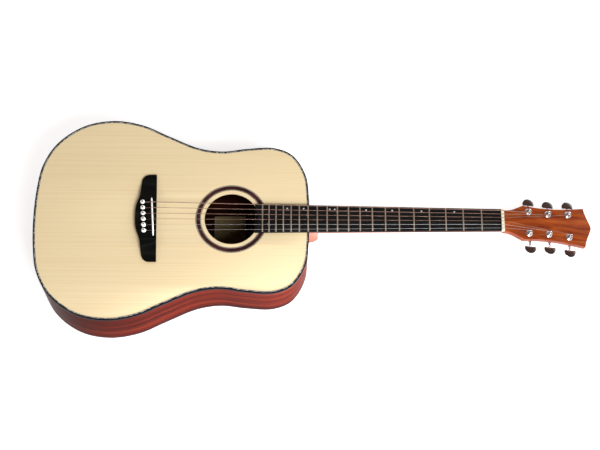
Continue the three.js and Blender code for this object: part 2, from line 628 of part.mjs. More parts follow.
// The heel narrows from the full neck at its top to a small rounded foot at the back
function spreadHeel(place, drop) {
  const topHalf = boardHalfWidth(HEEL_PLANE) - GAP;
  place.x = place.x * (HEEL_REACH + HEEL_FLARE * (1 - drop) ** 6) - HEEL_PLANE;
  place.y *= HEEL_HALF_WIDTH + (topHalf - HEEL_HALF_WIDTH) * (1 - drop) ** 1.6;
}

function makeHeelCap() {
  const blank = extrude(heelSection(), 4 * HEEL_CAP_THICKNESS);
  blank.translate(0, 0, -DEPTH_AT_NECK - HEEL_CAP_THICKNESS);
  const foot = toSolid(reshape(blank, (place) => spreadHeel(place, 1)));
  addPiece("heel_cap", foot.intersect(backBand(0, HEEL_CAP_THICKNESS)), bindingBlack);
}

function smooth(points, steps) {
  const places = points.map(([s, half]) => new THREE.Vector2(s, half));
  return new THREE.SplineCurve(places).getSpacedPoints(steps);
}

function headOutline() {
  const half = [...smooth(HEAD_FLARE, 6), ...smooth(HEAD_SIDE, 8).slice(1), ...smooth(HEAD_END, 7).slice(1)];
  const treble = half.slice(0, -1).map(({ x, y }) => new THREE.Vector2(x, -y));
  return [...treble, ...half.reverse()];
}

const tunerPlaces = STRING_NAMES.map((string, index) => {
  const side = index < POST_PLACES.length ? 1 : -1;
  const row = side > 0 ? index : STRING_NAMES.length - 1 - index;
  const [s, half] = POST_PLACES[row];
  return { string, side, s, y: side * half };
});

function headPlate() {
  const plate = prism(headOutline(), -HEAD_THICKNESS, 0);
  const holes = tunerPlaces.map(({ s, y }) => bar(s, y, HEAD_HOLE_RADIUS, -HEAD_THICKNESS - 1, 1, PIN_STEPS));
  const nutRoom = box([-10, 0], [-NUT_WIDTH, NUT_WIDTH], [-HEAD_THICKNESS / 2, 1]);
  return toSolid(toGeometry(cut(plate, [...holes, nutRoom])).applyMatrix4(HEAD_TO_GUITAR));
}

function makeNeck() {
  const whole = join([neckShaft(), neckThroat(), neckHeel(), headPlate()]);
  const channelHalf = ROD_HALF_WIDTH + GAP;
  const channelLength = [-HEEL_PLANE - 1, -ROD_START + GAP];
  const channel = box(channelLength, [-channelHalf, channelHalf], [-ROD_FLOOR - GAP, 1]);
  const nutShelf = box([-1, HEAD_ORIGIN_X], [-NUT_WIDTH, NUT_WIDTH], [0, NUT_TOP]);
  addPiece("neck", cut(whole, [channel, nutShelf]), mahoganyNeck);
}

function makeTrussRod() {
  const flat = box([-HEEL_PLANE, -ROD_START], [-ROD_HALF_WIDTH, ROD_HALF_WIDTH], [-ROD_FLOOR, -GAP]);
  const alongRod = (radius, from, to, steps) =>
    toSolid(barGeometry(radius, from, to, steps).applyMatrix4(ALONG_X).translate(-ROD_END, 0, ROD_AXIS_Z));
  const tail = alongRod(ROD_RADIUS, -1, ROD_END - HEEL_PLANE, PIN_STEPS);
  const socket = alongRod(ROD_RADIUS / 2, -2, 2 * ROD_RADIUS, 6);
  addPiece("truss_rod", flat.add(tail).subtract(socket), steel);
}

// Straight runs joined at given stations, so a bend gets its points and a straight run gets none
class Route extends THREE.Curve {
  constructor(stations) {
    super();
    this.stations = stations;
  }

  getPoint(t, target = new THREE.Vector3()) {
    const along = Math.min(Math.max(t, 0), 1) * (this.stations.length - 1);
    const index = Math.min(Math.floor(along), this.stations.length - 2);
    return target.lerpVectors(this.stations[index], this.stations[index + 1], along - index);
  }

  getPointAt(u, target) {
    return this.getPoint(u, target);
  }

  getTangentAt(u, target = new THREE.Vector3()) {
    const half = 0.5 / (this.stations.length - 1);
    return target.copy(this.getPoint(u + half)).sub(this.getPoint(u - half)).normalize();
  }
}

// The turns round a tuner's post, wound down the post from the side that faces the middle of the head
function wrapStations({ side, s, y }, radius) {
  const reach = POST_RADIUS + GAP + radius;
  const count = Math.round(WRAP_TURNS * WRAP_STEPS_PER_TURN);
  return Array.from({ length: count + 1 }, (_, i) => {
    const angle = -Math.PI / 2 + (2 * Math.PI * i) / WRAP_STEPS_PER_TURN;
    const drop = (WRAP_PITCH * i) / WRAP_STEPS_PER_TURN;
    const [along, out] = [s + reach * Math.cos(angle), y + side * reach * Math.sin(angle)];
    return new THREE.Vector3(along, out, WRAP_TOP - drop).applyMatrix4(HEAD_TO_GUITAR);
  });
}

function stringStations(index) {
  const radius = STRING_RADII[index];
  const [pinX, pinY] = pinPlace(index);
  const nutY = (stringSide(index) * NUT_SPREAD) / 2;
  const riseX = pinX + PIN_SHAFT_RADIUS + GAP + radius;
  const level = BRIDGE_TOP + GAP + radius;
  const yAt = (x) => THREE.MathUtils.mapLinear(x, riseX, GAP, pinY, nutY);
  const saddleX = SADDLE_X - pinY * Math.tan(SADDLE_SLANT);
  const crest = SADDLE_TOP + GAP + radius;
  const nutZ = STRING_ABOVE_NUT_FLOOR + radius;
  const route = [
    [riseX, PIN_TIP_Z + 2], [riseX, level - 1.2], [riseX + 0.35, level - 0.35], [riseX + 1.2, level],
    [saddleX - 1.2, crest - 0.2], [saddleX, crest], [saddleX + 1.4, crest - 0.05],
    [GAP + 1, nutZ], [NUT_LENGTH - 0.6, nutZ - 0.1],
  ];
  return route.map(([x, z]) => new THREE.Vector3(x, yAt(x), z));
}

function makeStrings() {
  STRING_NAMES.forEach((string, index) => {
    const radius = STRING_RADII[index];
    const stations = [...stringStations(index), ...wrapStations(tunerPlaces[index], radius)];
    const section = new THREE.Shape(circle(0, 0, radius, STRING_SIDES));
    const extrudePath = new Route(stations);
    const geometry = new THREE.ExtrudeGeometry(section, { steps: stations.length - 1, extrudePath });
    addPiece(`string_${string}`, toSolid(geometry), index < 4 ? bronze : steel);
  });
}

// A tuner's closed back: a cup over the gear and worm, with a screw ear and the shaft's collar
function makeHousing(side) {
  const { front, rear, half, depth, corner, collar } = HOUSING;
  const shell = new THREE.Shape()
    .moveTo(rear + corner, -half)
    .lineTo(front - corner, -half)
    .quadraticCurveTo(front, -half, front, -half + corner)
    .lineTo(front, half - corner)
    .quadraticCurveTo(front, half, front - corner, half)
    .lineTo(rear + corner, half)
    .quadraticCurveTo(rear, half, rear, half - corner)
    .lineTo(rear, -half + corner)
    .quadraticCurveTo(rear, -half, rear + corner, -half)
    .getPoints(2);
  const body = prism(shell.slice(0, -1), -depth, -GAP);
  const ear = bar(rear - HOUSING_EAR.back, 0, HOUSING_EAR.radius, -HOUSING_EAR.depth, -GAP, PIN_STEPS);
  const alongShaft = (radius, from, to) => {
    const geometry = barGeometry(radius, from, to, PIN_STEPS).applyMatrix4(ALONG_Y);
    return toSolid(geometry.rotateZ(side > 0 ? Math.PI : 0).translate(WORM_OFFSET, 0, GEAR_MID));
  };
  const gearFloor = GEAR_MID - GEAR_THICKNESS / 2 - GAP;
  const gearRoom = bar(0, 0, GEAR_TIP_RADIUS + 2 * GAP, gearFloor, 1, PIN_STEPS);
  const wormRoom = box(
    [WORM_OFFSET - WORM_RADIUS - 2 * GAP, WORM_OFFSET + WORM_RADIUS + 2 * GAP],
    [-WORM_HALF_LENGTH - GAP, WORM_HALF_LENGTH + GAP],
    [GEAR_MID - WORM_RADIUS - GAP, 1],
  );
  const whole = join([body, ear, alongShaft(COLLAR_RADIUS, half - 1, collar)]);
  return cut(whole, [gearRoom, wormRoom, alongShaft(SHAFT_RADIUS + GAP, 0, collar + 1)]);
}

function makeBushing() {
  const bore = POST_RADIUS + GAP;
  const sleeve = HEAD_HOLE_RADIUS - GAP;
  const profile = [
    [bore, -8], [sleeve, -8], [sleeve, GAP], [6.5, GAP], [6.2, 1.4],
    [5, 1.6], [4.7, 3], [bore, 3.2], [bore, -8],
  ];
  return toSolid(turned(profile, PIN_STEPS));
}

// The post carries its worm gear at the foot and the string's cross hole near the top
function makePost() {
  const foot = GEAR_MID - GEAR_THICKNESS / 2 - HEAD_THICKNESS;
  const profile = [
    [0, foot], [POST_RADIUS, foot], [POST_RADIUS, 4], [POST_WAIST_RADIUS, 4.8], [POST_WAIST_RADIUS, 8],
    [POST_RADIUS, 8.8], [POST_RADIUS, POST_TOP - 0.6], [POST_RADIUS - 0.6, POST_TOP], [0, POST_TOP],
  ];
  const gear = Array.from({ length: 2 * GEAR_TEETH }, (_, i) => {
    const radius = i % 2 ? GEAR_TIP_RADIUS : GEAR_ROOT_RADIUS;
    const angle = (i * Math.PI) / GEAR_TEETH;
    return new THREE.Vector2(radius * Math.cos(angle), radius * Math.sin(angle));
  });
  const gearSolid = prism(gear, foot, foot + GEAR_THICKNESS);
  const hole = barGeometry(STRING_HOLE_RADIUS, -2 * POST_RADIUS, 2 * POST_RADIUS, 8).applyMatrix4(ALONG_Y);
  const crossHole = toSolid(hole.translate(0, 0, STRING_HOLE_Z));
  return toSolid(turned(profile, POST_STEPS)).add(gearSolid).subtract(crossHole);
}

// The knob with its shaft and worm, drawn along +Y from the post's line
function makeKnob() {
  const half = KNOB_OUTLINE.map(([s, out]) => new THREE.Vector3(s, out, 0));
  const other = half.slice(1, -1).reverse().map(({ x, y }) => new THREE.Vector3(-x, y, 0));
  const rim = new THREE.CatmullRomCurve3([...half, ...other], true, "centripetal");
  const corners = rim.getSpacedPoints(16).slice(0, -1);
  const shape = new THREE.Shape(corners.map(({ x, y }) => new THREE.Vector2(x, y)));
  const knob = new THREE.ExtrudeGeometry(shape, {
    depth: KNOB_THICKNESS - 2 * KNOB_BEVEL,
    bevelThickness: KNOB_BEVEL,
    bevelSize: KNOB_BEVEL,
    bevelOffset: -KNOB_BEVEL,
    bevelSegments: 1,
  });
  const knobSolid = toSolid(knob.translate(0, KNOB_START, KNOB_BEVEL - KNOB_THICKNESS / 2));
  const alongY = (radius, from, to) => toSolid(barGeometry(radius, -to, -from, 10).applyMatrix4(ALONG_Y));
  const worm = alongY(WORM_RADIUS, -WORM_HALF_LENGTH, WORM_HALF_LENGTH);
  return join([knobSolid, worm, alongY(SHAFT_RADIUS, 0, KNOB_START + 2 * SHAFT_RADIUS)]);
}

function makeTuners() {
  for (const { string, side, s, y } of tunerPlaces) {
    const backFace = -HEAD_THICKNESS;
    const housing = addPiece(`tuner_housing_${string}`, makeHousing(side), chrome, head);
    housing.position.set(s, y, backFace);
    const bushing = addPiece(`tuner_bushing_${string}`, makeBushing(), chrome, head);
    bushing.position.set(s, y, 0);
    const post = addPiece(`tuner_post_${string}`, makePost(), chrome, head);
    post.position.set(s, y, 0);
    const button = addPiece(`tuner_button_${string}`, makeKnob(), chrome, head);
    button.position.set(s + WORM_OFFSET, y, backFace + GEAR_MID);
    button.rotation.z = side > 0 ? 0 : Math.PI;
  }
}

makeSoundboard();
makeInlays();
makeBindings();
makeSides();
makeBack();
makeBlocks();
makeXBraces();
makeLadderBraces();
makeBridgePlate();
makeBridge();
makeSaddle();
makeBridgePins();
makeEndPin();
makeFretboard();
makeNut();
makeNeck();
makeHeelCap();
makeTrussRod();
makeStrings();
makeTuners();

// Laid on its back: the back's flat middle is level on z = 0 and the guitar is centred in plan
root.rotation.y = TAPER;
root.position.z = -BACK_LEVEL;
root.updateMatrixWorld(true);
const extent = new THREE.Box3().setFromObject(root, true);
root.position.x = -(extent.min.x + extent.max.x) / 2;

const guitar = new THREE.Group();
guitar.add(root);

export default guitar;
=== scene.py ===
# Acoustic guitar lying on its back: the looks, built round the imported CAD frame.
# Shapes are drawn in the guitar's own frame in millimetres and placed by one matrix:
# x = 0 at the nut and falling toward the tail, +y the bass side, z = 0 the soundboard's face.
from math import atan, atan2, cos, dist, pi, radians, sin, sqrt, tan

import bmesh
import bpy
from mathutils import Matrix, Vector


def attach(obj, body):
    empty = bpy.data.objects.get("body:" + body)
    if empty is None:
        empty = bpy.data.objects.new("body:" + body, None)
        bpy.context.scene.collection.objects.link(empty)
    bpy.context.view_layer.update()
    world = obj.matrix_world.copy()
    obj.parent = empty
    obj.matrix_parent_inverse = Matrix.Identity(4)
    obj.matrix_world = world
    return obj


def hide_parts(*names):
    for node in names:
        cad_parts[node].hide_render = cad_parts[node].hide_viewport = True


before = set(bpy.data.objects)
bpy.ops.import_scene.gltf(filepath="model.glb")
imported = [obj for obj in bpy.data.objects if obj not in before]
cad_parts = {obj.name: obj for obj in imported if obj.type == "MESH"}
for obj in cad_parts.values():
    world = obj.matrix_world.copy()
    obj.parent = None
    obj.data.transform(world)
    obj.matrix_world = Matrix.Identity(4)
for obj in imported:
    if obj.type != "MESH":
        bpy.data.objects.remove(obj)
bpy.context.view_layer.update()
MM = 0.001

# Guitar, in millimetres from the nut
SCALE_LENGTH = 650.0
FRETS = 20
BODY_FRET = 14
NUT_WIDTH = 42.6
BODY_FRET_WIDTH = 53.2
BOARD_TOP = 6.3
BOARD_RADIUS = 406.0
BODY_FRONT = 358.4
BODY_TAIL = 871.5
DEPTH_AT_NECK = 98.0
DEPTH_AT_TAIL = 128.0
HALF_OUTLINE = [
    (871.5, 0), (868.5, 60), (860, 106.5), (835, 151), (786, 187), (730, 198.5), (675.5, 190),
    (625, 167.5), (566.5, 142.8), (522, 136.8), (477, 142.4), (425, 144.7), (390, 130.2), (364.8, 89.5),
    (359, 45), (358.4, 0),
]
HOLE_X = -503.0
HOLE_RADIUS = 50.2
TOP_THICKNESS = 3.0
SIDE_THICKNESS = 2.5
BACK_THICKNESS = 2.8
BINDING_WIDTH = 2.0
BINDING_DEPTH = 6.0
PURFLING_INSETS = (2.35, 3.65)
BOARD_INSET = 4.2
BACK_FLAT_HALF = 70.0
BACK_ARCH_RADIUS = 2000.0
GAP = 0.3
TAPER = atan2(DEPTH_AT_TAIL - DEPTH_AT_NECK, BODY_TAIL - BODY_FRONT)
BACK_LEVEL = BODY_FRONT * sin(TAPER) - DEPTH_AT_NECK * cos(TAPER)
HEAD_TILT = radians(12.5)
HEAD_ORIGIN = (5.7, 0.0, 1.5)
HEAD_THICKNESS = 13.0
POST_RADIUS = 3.1
GEAR_TEETH = 14
PLAN_SHIFT = 353.976
STRINGS = ["low_e", "a", "d", "g", "b", "high_e"]
STRING_RADII = [0.67, 0.53, 0.41, 0.3, 0.21, 0.16]


def shift(x, y, z):
    return Matrix.Translation(Vector((x, y, z)) * MM)


GUITAR = Matrix.Translation((PLAN_SHIFT * MM, 0, -BACK_LEVEL * MM)) @ Matrix.Rotation(TAPER, 4, "Y")
HEAD = GUITAR @ shift(*HEAD_ORIGIN) @ Matrix.Rotation(HEAD_TILT, 4, "Y")
ROOT = "guitar"


# Camera, light, floor
def new_object(name, data):
    obj = bpy.data.objects.new(name, data)
    bpy.context.collection.objects.link(obj)
    return obj


def add_camera():
    """A long lens above the treble side, looking down at the soundboard."""
    tilt, yaw, roll = -0.36384, -0.01545, 0.00722
    distance, aim = 2700.0, Vector((-375.34, -11.4, 0.0))
    focal_pixels, image_width, sensor_width = 1449.99, 600.0, 36.0
    turn = Matrix.Rotation(roll, 3, "Z") @ Matrix.Rotation(yaw, 3, "Y") @ Matrix.Rotation(tilt, 3, "X")
    turn = turn @ Matrix.Diagonal((1, -1, -1))
    right, down, ahead = turn[0], turn[1], turn[2]
    pose = Matrix((right, -down, -ahead)).transposed().to_4x4()
    pose.translation = (aim - ahead * distance) * MM
    data = bpy.data.cameras.new("camera")
    data.sensor_width = sensor_width
    data.lens = sensor_width * focal_pixels / image_width
    data.clip_end = 20.0
    camera = new_object("camera", data)
    camera.matrix_world = GUITAR @ pose
    bpy.context.scene.camera = camera


def add_light(name, kind, place, aim, power):
    data = bpy.data.lights.new(name, kind)
    data.energy = power
    light = new_object(name, data)
    light.location = place
    light.rotation_euler = (Vector(aim) - Vector(place)).to_track_quat("-Z", "Y").to_euler()
    return data


def add_area(name, place, aim, size, power):
    data = add_light(name, "AREA", place, aim, power)
    data.shape = "RECTANGLE"
    data.size, data.size_y = size
    return data


def add_studio():
    """White round the horizon, dark overhead, one soft key light, and two small lights near the side."""
    white_below, dark_above = 0.58, 0.69
    world = bpy.data.worlds.new("studio")
    bpy.context.scene.world = world
    world.use_nodes = True
    nodes, links = world.node_tree.nodes, world.node_tree.links
    background = nodes["Background"]
    coords = nodes.new("ShaderNodeTexCoord")
    split = nodes.new("ShaderNodeSeparateXYZ")
    ramp = nodes.new("ShaderNodeValToRGB")
    links.new(coords.outputs["Generated"], split.inputs[0])
    links.new(split.outputs["Z"], ramp.inputs[0])
    links.new(ramp.outputs[0], background.inputs["Color"])
    stops = ramp.color_ramp.elements
    stops[0].position, stops[0].color = white_below, (1, 1, 1, 1)
    stops[1].position, stops[1].color = dark_above, (0.075, 0.038, 0.028, 1)
    background.inputs["Strength"].default_value = 1.0
    add_area("key", (0.75, -1.3, 1.8), (0.0, 0.0, 0.1), (1.2, 1.0), 50)
    # stays below the soundboard's plane, so that it lights the treble side alone
    low = add_area("low_right", (0.42, -0.66, 0.036), (-0.24, -0.16, 0.05), (0.5, 0.055), 6.0)
    low.spread = radians(75)
    pool = add_light("floor_pool", "SPOT", (-0.08, -0.60, 0.8), (-0.08, -0.36, 0.0), 50)
    pool.spot_size, pool.spot_blend, pool.shadow_soft_size = radians(27), 0.5, 0.05
    view = bpy.context.scene.view_settings
    view.view_transform = "Standard"
    view.look = "None"


def add_floor():
    mesh = bpy.data.meshes.new("floor")
    reach, sink = 14.0, 0.0002
    corners = [(-reach, -reach, 0), (reach, -reach, 0), (reach, reach, 0), (-reach, reach, 0)]
    mesh.from_pydata(corners, [], [(0, 1, 2, 3)])
    floor = new_object("floor", mesh)
    floor.location.z = -sink
    paint = Paint("floor_paint")
    grain = paint.noise(paint.coords(), 40, 3)
    paint.set(Roughness=0.9, Emission_Strength=0.62, Emission_Color=(1, 1, 1, 1))
    paint.set(Base_Color=paint.grey(grain, (0.3, 0.92), (0.7, 0.94)))
    paint.bump(grain, 0.02, 0.001)
    mesh.materials.append(paint.material)


# Materials
class Paint:
    """A procedural material: short calls that add nodes and return sockets."""

    def __init__(self, name):
        self.material = bpy.data.materials.new(name)
        self.material.use_nodes = True
        self.nodes = self.material.node_tree.nodes
        self.links = self.material.node_tree.links
        self.shader = self.nodes["Principled BSDF"]

    def put(self, socket, value):
        if isinstance(value, bpy.types.NodeSocket):
            self.links.new(value, socket)
        else:
            socket.default_value = value

    def add(self, kind, inputs=None, output=0, **settings):
        node = self.nodes.new(kind)
        for key, value in settings.items():
            setattr(node, key, value)
        for key, value in (inputs or {}).items():
            self.put(node.inputs[key], value)
        return node.outputs[output]

    def set(self, **values):
        for key, value in values.items():
            self.put(self.shader.inputs[key.replace("_", " ")], value)

    def coords(self):
        """The place in the guitar's own frame, turned back from the level frame of the meshes."""
        place = self.add("ShaderNodeTexCoord", output="Object")
        turn = Matrix.Rotation(-TAPER, 3, "Y")
        shift = turn @ Vector((-PLAN_SHIFT * MM, 0, BACK_LEVEL * MM))
        inputs = {"Vector": place, "Rotation": (0, -TAPER, 0), "Location": tuple(shift)}
        return self.add("ShaderNodeMapping", inputs)

    def stretch(self, vector, scale):
        return self.add("ShaderNodeMapping", {"Vector": vector, "Scale": scale})

    def noise(self, vector, scale, detail=2.0, rough=0.5, distortion=0.0):
        inputs = {"Vector": vector, "Scale": scale, "Detail": detail}
        inputs.update({"Roughness": rough, "Distortion": distortion})
        return self.add("ShaderNodeTexNoise", inputs)

    def grain(self, vector, scale, *settings):
        """Noise that is drawn out by a scale of its own on each axis."""
        return self.noise(self.stretch(vector, scale), 1.0, *settings)

    def ramp(self, factor, *stops):
        node = self.nodes.new("ShaderNodeValToRGB")
        self.links.new(factor, node.inputs[0])
        elements = node.color_ramp.elements
        while len(elements) < len(stops):
            elements.new(0.5)
        for element, (position, colour) in zip(elements, stops):
            element.position = position
            element.color = (*colour, 1)
        return node.outputs[0]

    def grey(self, factor, *stops):
        return self.ramp(factor, *((position, (value,) * 3) for position, value in stops))

    def math(self, operation, a, b=0.0):
        return self.add("ShaderNodeMath", {0: a, 1: b}, operation=operation)

    def mix(self, factor, a, b, blend="MIX"):
        """Two colours mixed; sockets 6 and 7 of the node are its colour inputs, and output 2 its colour."""
        inputs = {"Factor": factor, 6: a, 7: b}
        return self.add("ShaderNodeMix", inputs, output=2, data_type="RGBA", blend_type=blend)

    def split(self, vector, axis):
        return self.add("ShaderNodeSeparateXYZ", {0: vector}, output=axis)

    def bump(self, height, strength, distance):
        inputs = {"Height": height, "Strength": strength, "Distance": distance}
        self.put(self.shader.inputs["Normal"], self.add("ShaderNodeBump", inputs))


def srgb(red, green, blue):
    def linear(value):
        value /= 255.0
        return value / 12.92 if value <= 0.04045 else ((value + 0.055) / 1.055) ** 2.4

    return (linear(red), linear(green), linear(blue))


def spruce_paint():
    """Book-matched spruce: fine straight grain along the guitar, a joint down the middle, thin gloss."""
    paint = Paint("spruce")
    place = paint.coords()
    mirror = paint.add("ShaderNodeCombineXYZ", {
        "X": paint.split(place, "X"),
        "Y": paint.math("ABSOLUTE", paint.split(place, "Y")),
        "Z": paint.split(place, "Z"),
    })
    fine = paint.grain(mirror, (2.2, 620, 30), 3, 0.6)
    rings = paint.grain(mirror, (1.1, 150, 10), 2, 0.5)
    broad = paint.grain(mirror, (1.6, 16, 4), 2, 0.5)
    flake = paint.grain(mirror, (90, 260, 30), 2, 0.6)
    grain = paint.ramp(
        fine, (0.34, srgb(232, 210, 167)), (0.5, srgb(238, 219, 179)), (0.75, srgb(243, 228, 193)),
    )
    tone = paint.ramp(rings, (0.30, srgb(237, 217, 174)), (0.7, srgb(241, 224, 185)))
    colour = paint.mix(0.3, grain, tone)
    wide = paint.ramp(broad, (0.3, srgb(249, 244, 234)), (0.7, srgb(255, 252, 246)))
    colour = paint.mix(0.6, colour, wide, "MULTIPLY")
    seam_half_width = 0.00018
    seam = paint.math("LESS_THAN", paint.math("ABSOLUTE", paint.split(place, "Y")), seam_half_width)
    colour = paint.mix(paint.math("MULTIPLY", seam, 0.35), colour, (*srgb(190, 160, 112), 1))
    paint.set(Base_Color=colour, Roughness=paint.grey(flake, (0.2, 0.30), (0.8, 0.42)))
    paint.set(Specular_IOR_Level=0.35, Coat_Weight=0.15, Coat_Roughness=0.12)
    paint.bump(fine, 0.06, 0.0002)
    return paint.material


def mahogany_paint(name, dark, mid, light, index, along=(6, 160, 160), use_uv=False):
    """Mahogany: long pores and ribbon streaks along the grain under a clear finish."""
    paint = Paint(name)
    place = paint.add("ShaderNodeTexCoord", output="UV") if use_uv else paint.coords()

    def texture(lengthwise, across, *settings):
        scale = (along[0] * lengthwise, along[1] * across, along[2] * across)
        return paint.grain(place, scale, *settings)

    streak = texture(0.45, 0.45, 4, 0.6, 0.4)
    pores = texture(9, 9, 2, 0.6)
    ribbon = texture(1.2, 0.16, 2, 0.5)
    colour = paint.ramp(streak, (0.30, srgb(*dark)), (0.50, srgb(*mid)), (0.72, srgb(*light)))
    glow = paint.grey(ribbon, (0.25, 0.78), (0.75, 1))
    colour = paint.mix(0.7, colour, glow, "MULTIPLY")
    pits = paint.ramp(pores, (0.30, (0.45, 0.40, 0.40)), (0.42, (1, 1, 1)))
    colour = paint.mix(0.8, colour, pits, "MULTIPLY")
    paint.set(Base_Color=colour, Roughness=paint.grey(streak, (0.2, 0.34), (0.8, 0.46)))
    paint.set(IOR=index, Coat_Weight=0.2, Coat_IOR=index, Coat_Roughness=0.08)
    paint.bump(pores, 0.12, 0.0003)
    return paint.material


def dark_wood_paint(name, dark, mid, light, index):
    """Dark oiled rosewood: charcoal brown with finer, blacker pores along the grain."""
    paint = Paint(name)
    place = paint.coords()
    pores = paint.grain(place, (18, 900, 500), 3, 0.65)
    streak = paint.grain(place, (3, 90, 60), 3, 0.6, 0.5)
    colour = paint.ramp(streak, (0.3, srgb(*dark)), (0.55, srgb(*mid)), (0.75, srgb(*light)))
    pits = paint.grey(pores, (0.32, 0.45), (0.5, 1))
    paint.set(Base_Color=paint.mix(0.9, colour, pits, "MULTIPLY"))
    paint.set(IOR=index, Roughness=paint.grey(pores, (0.3, 0.66), (0.7, 0.52)))
    paint.bump(pores, 0.25, 0.0003)
    return paint.material


def raw_wood_paint(name, dark, light):
    """Bare wood inside the body: soft streaks and a dry, fuzzy surface."""
    paint = Paint(name)
    place = paint.coords()
    streak = paint.grain(place, (8, 120, 120), 4, 0.6, 0.3)
    fuzz = paint.noise(place, 900, 2, 0.6)
    paint.set(Base_Color=paint.ramp(streak, (0.3, srgb(*dark)), (0.7, srgb(*light))))
    paint.set(Roughness=paint.grey(fuzz, (0.3, 0.7), (0.7, 0.85)))
    paint.bump(streak, 0.2, 0.0004)
    return paint.material


def lacquer_paint(name, colour, roughness, spread=0.06, coat=0.4, index=1.5):
    """Moulded plastic or lacquer: one colour with faint clouding and a fine surface."""
    paint = Paint(name)
    place = paint.coords()
    cloud = paint.noise(place, 60, 3, 0.5)
    fine = paint.noise(place, 1400, 2, 0.5)
    low = tuple(value * (1 - spread * 3) for value in srgb(*colour))
    high = tuple(min(1.0, value * (1 + spread)) for value in srgb(*colour))
    paint.set(Base_Color=paint.ramp(cloud, (0.3, low), (0.7, high)))
    paint.set(Roughness=paint.grey(fine, (0.3, roughness * 0.85), (0.7, roughness * 1.2)))
    paint.set(IOR=index, Coat_Weight=coat, Coat_IOR=index, Coat_Roughness=0.1)
    paint.bump(fine, 0.04, 0.0001)
    return paint.material


def pearl_paint():
    """Mottled shell strip: short slanted grey, white and black chips."""
    paint = Paint("shell_strip")
    place = paint.coords()
    inputs = {"Vector": paint.stretch(place, (1, 1, 0.1)), "Scale": 520.0}
    shade = paint.split(paint.add("ShaderNodeTexVoronoi", inputs, output="Color"), "X")
    blotch = paint.noise(place, 60, 2, 0.6)
    mixed = paint.math("ADD", paint.math("MULTIPLY", shade, 0.65), paint.math("MULTIPLY", blotch, 0.45))
    colours = (0.25, (40, 44, 50)), (0.45, (86, 92, 98)), (0.6, (148, 154, 152)), (0.82, (220, 220, 210))
    paint.set(Base_Color=paint.ramp(mixed, *((position, srgb(*colour)) for position, colour in colours)))
    paint.set(Roughness=paint.grey(blotch, (0.3, 0.22), (0.7, 0.38)))
    paint.set(Coat_Weight=0.5, Coat_Roughness=0.08)
    return paint.material


def metal_paint(name, colour, roughness, metallic=1.0):
    """Metal with a fine finish and faint smudges."""
    paint = Paint(name)
    place = paint.coords()
    brushed = paint.grain(place, (300, 300, 300), 3, 0.6)
    smudge = paint.noise(place, 90, 2, 0.5)
    high = srgb(*colour)
    low = tuple(value * 0.9 for value in high)
    paint.set(Metallic=metallic, Base_Color=paint.ramp(smudge, (0.3, low), (0.7, high)))
    paint.set(Roughness=paint.grey(brushed, (0.25, roughness * 0.7), (0.75, roughness * 1.3)))
    paint.bump(brushed, 0.03, 0.0001)
    return paint.material


def wound_paint():
    """Bronze wrap on a wound string: fine ridges along its length."""
    paint = Paint("bronze_wound")
    place = paint.coords()
    inputs = {"Vector": place, "Scale": 900.0, "Distortion": 0.0}
    ridges = paint.add("ShaderNodeTexWave", inputs, output="Fac", wave_type="BANDS", bands_direction="X")
    tarnish = paint.noise(place, 50, 3, 0.5)
    colour = paint.ramp(tarnish, (0.3, srgb(134, 104, 92)), (0.7, srgb(172, 140, 124)))
    paint.set(Metallic=1.0, Base_Color=colour, Roughness=paint.grey(ridges, (0.2, 0.50), (0.8, 0.38)))
    paint.bump(ridges, 0.4, 0.0001)
    return paint.material


def paper_paint():
    """Aged brown paper, with nothing printed on it."""
    paint = Paint("label_paper")
    place = paint.coords()
    fibre = paint.noise(place, 700, 4, 0.7)
    age = paint.noise(place, 30, 3, 0.6)
    colour = paint.ramp(age, (0.3, srgb(100, 86, 56)), (0.7, srgb(122, 108, 74)))
    shade = paint.grey(fibre, (0.3, 0.7), (0.7, 1.0))
    paint.set(Base_Color=paint.mix(0.25, colour, shade, "MULTIPLY"))
    paint.set(Roughness=paint.grey(fibre, (0.3, 0.8), (0.7, 0.95)))
    paint.bump(fibre, 0.2, 0.0002)
    return paint.material


# Mesh helpers
def finish_mesh(name, mesh, material, matrix=GUITAR, body=ROOT, smooth=True, angle=35):
    """Makes a mesh a piece of the guitar: placed, painted, shaded and tied to its body."""
    mesh.transform(matrix)
    obj = new_object(name, mesh)
    mesh.materials.append(material)
    if smooth:
        mesh.polygons.foreach_set("use_smooth", [True] * len(mesh.polygons))
        mesh.set_sharp_from_angle(angle=radians(angle))
    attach(obj, body)
    return obj


def weld(mesh):
    """Joins coinciding points and turns every face outward."""
    work = bmesh.new()
    work.from_mesh(mesh)
    bmesh.ops.remove_doubles(work, verts=work.verts, dist=1e-7)
    bmesh.ops.recalc_face_normals(work, faces=work.faces)
    work.to_mesh(mesh)
    work.free()
    return mesh


def mesh_from(points, faces):
    mesh = bpy.data.meshes.new("piece")
    mesh.from_pydata([tuple(Vector(p) * MM) for p in points], [], faces)
    return weld(mesh)


def tube_mesh(loops, ring_closed=True, around=False):
    """Skin over equal loops, capped at both ends, or with the last joined to the first when around is set."""
    count = len(loops[0])
    points = [p for loop in loops for p in loop]
    faces = []
    spans = len(loops) if around else len(loops) - 1
    for i in range(spans):
        j = (i + 1) % len(loops)
        for k in range(count if ring_closed else count - 1):
            n = (k + 1) % count
            faces.append((i * count + k, i * count + n, j * count + n, j * count + k))
    if not around:
        faces.append(tuple(range(count)))
        faces.append(tuple((len(loops) - 1) * count + k for k in range(count)))
    return mesh_from(points, faces)


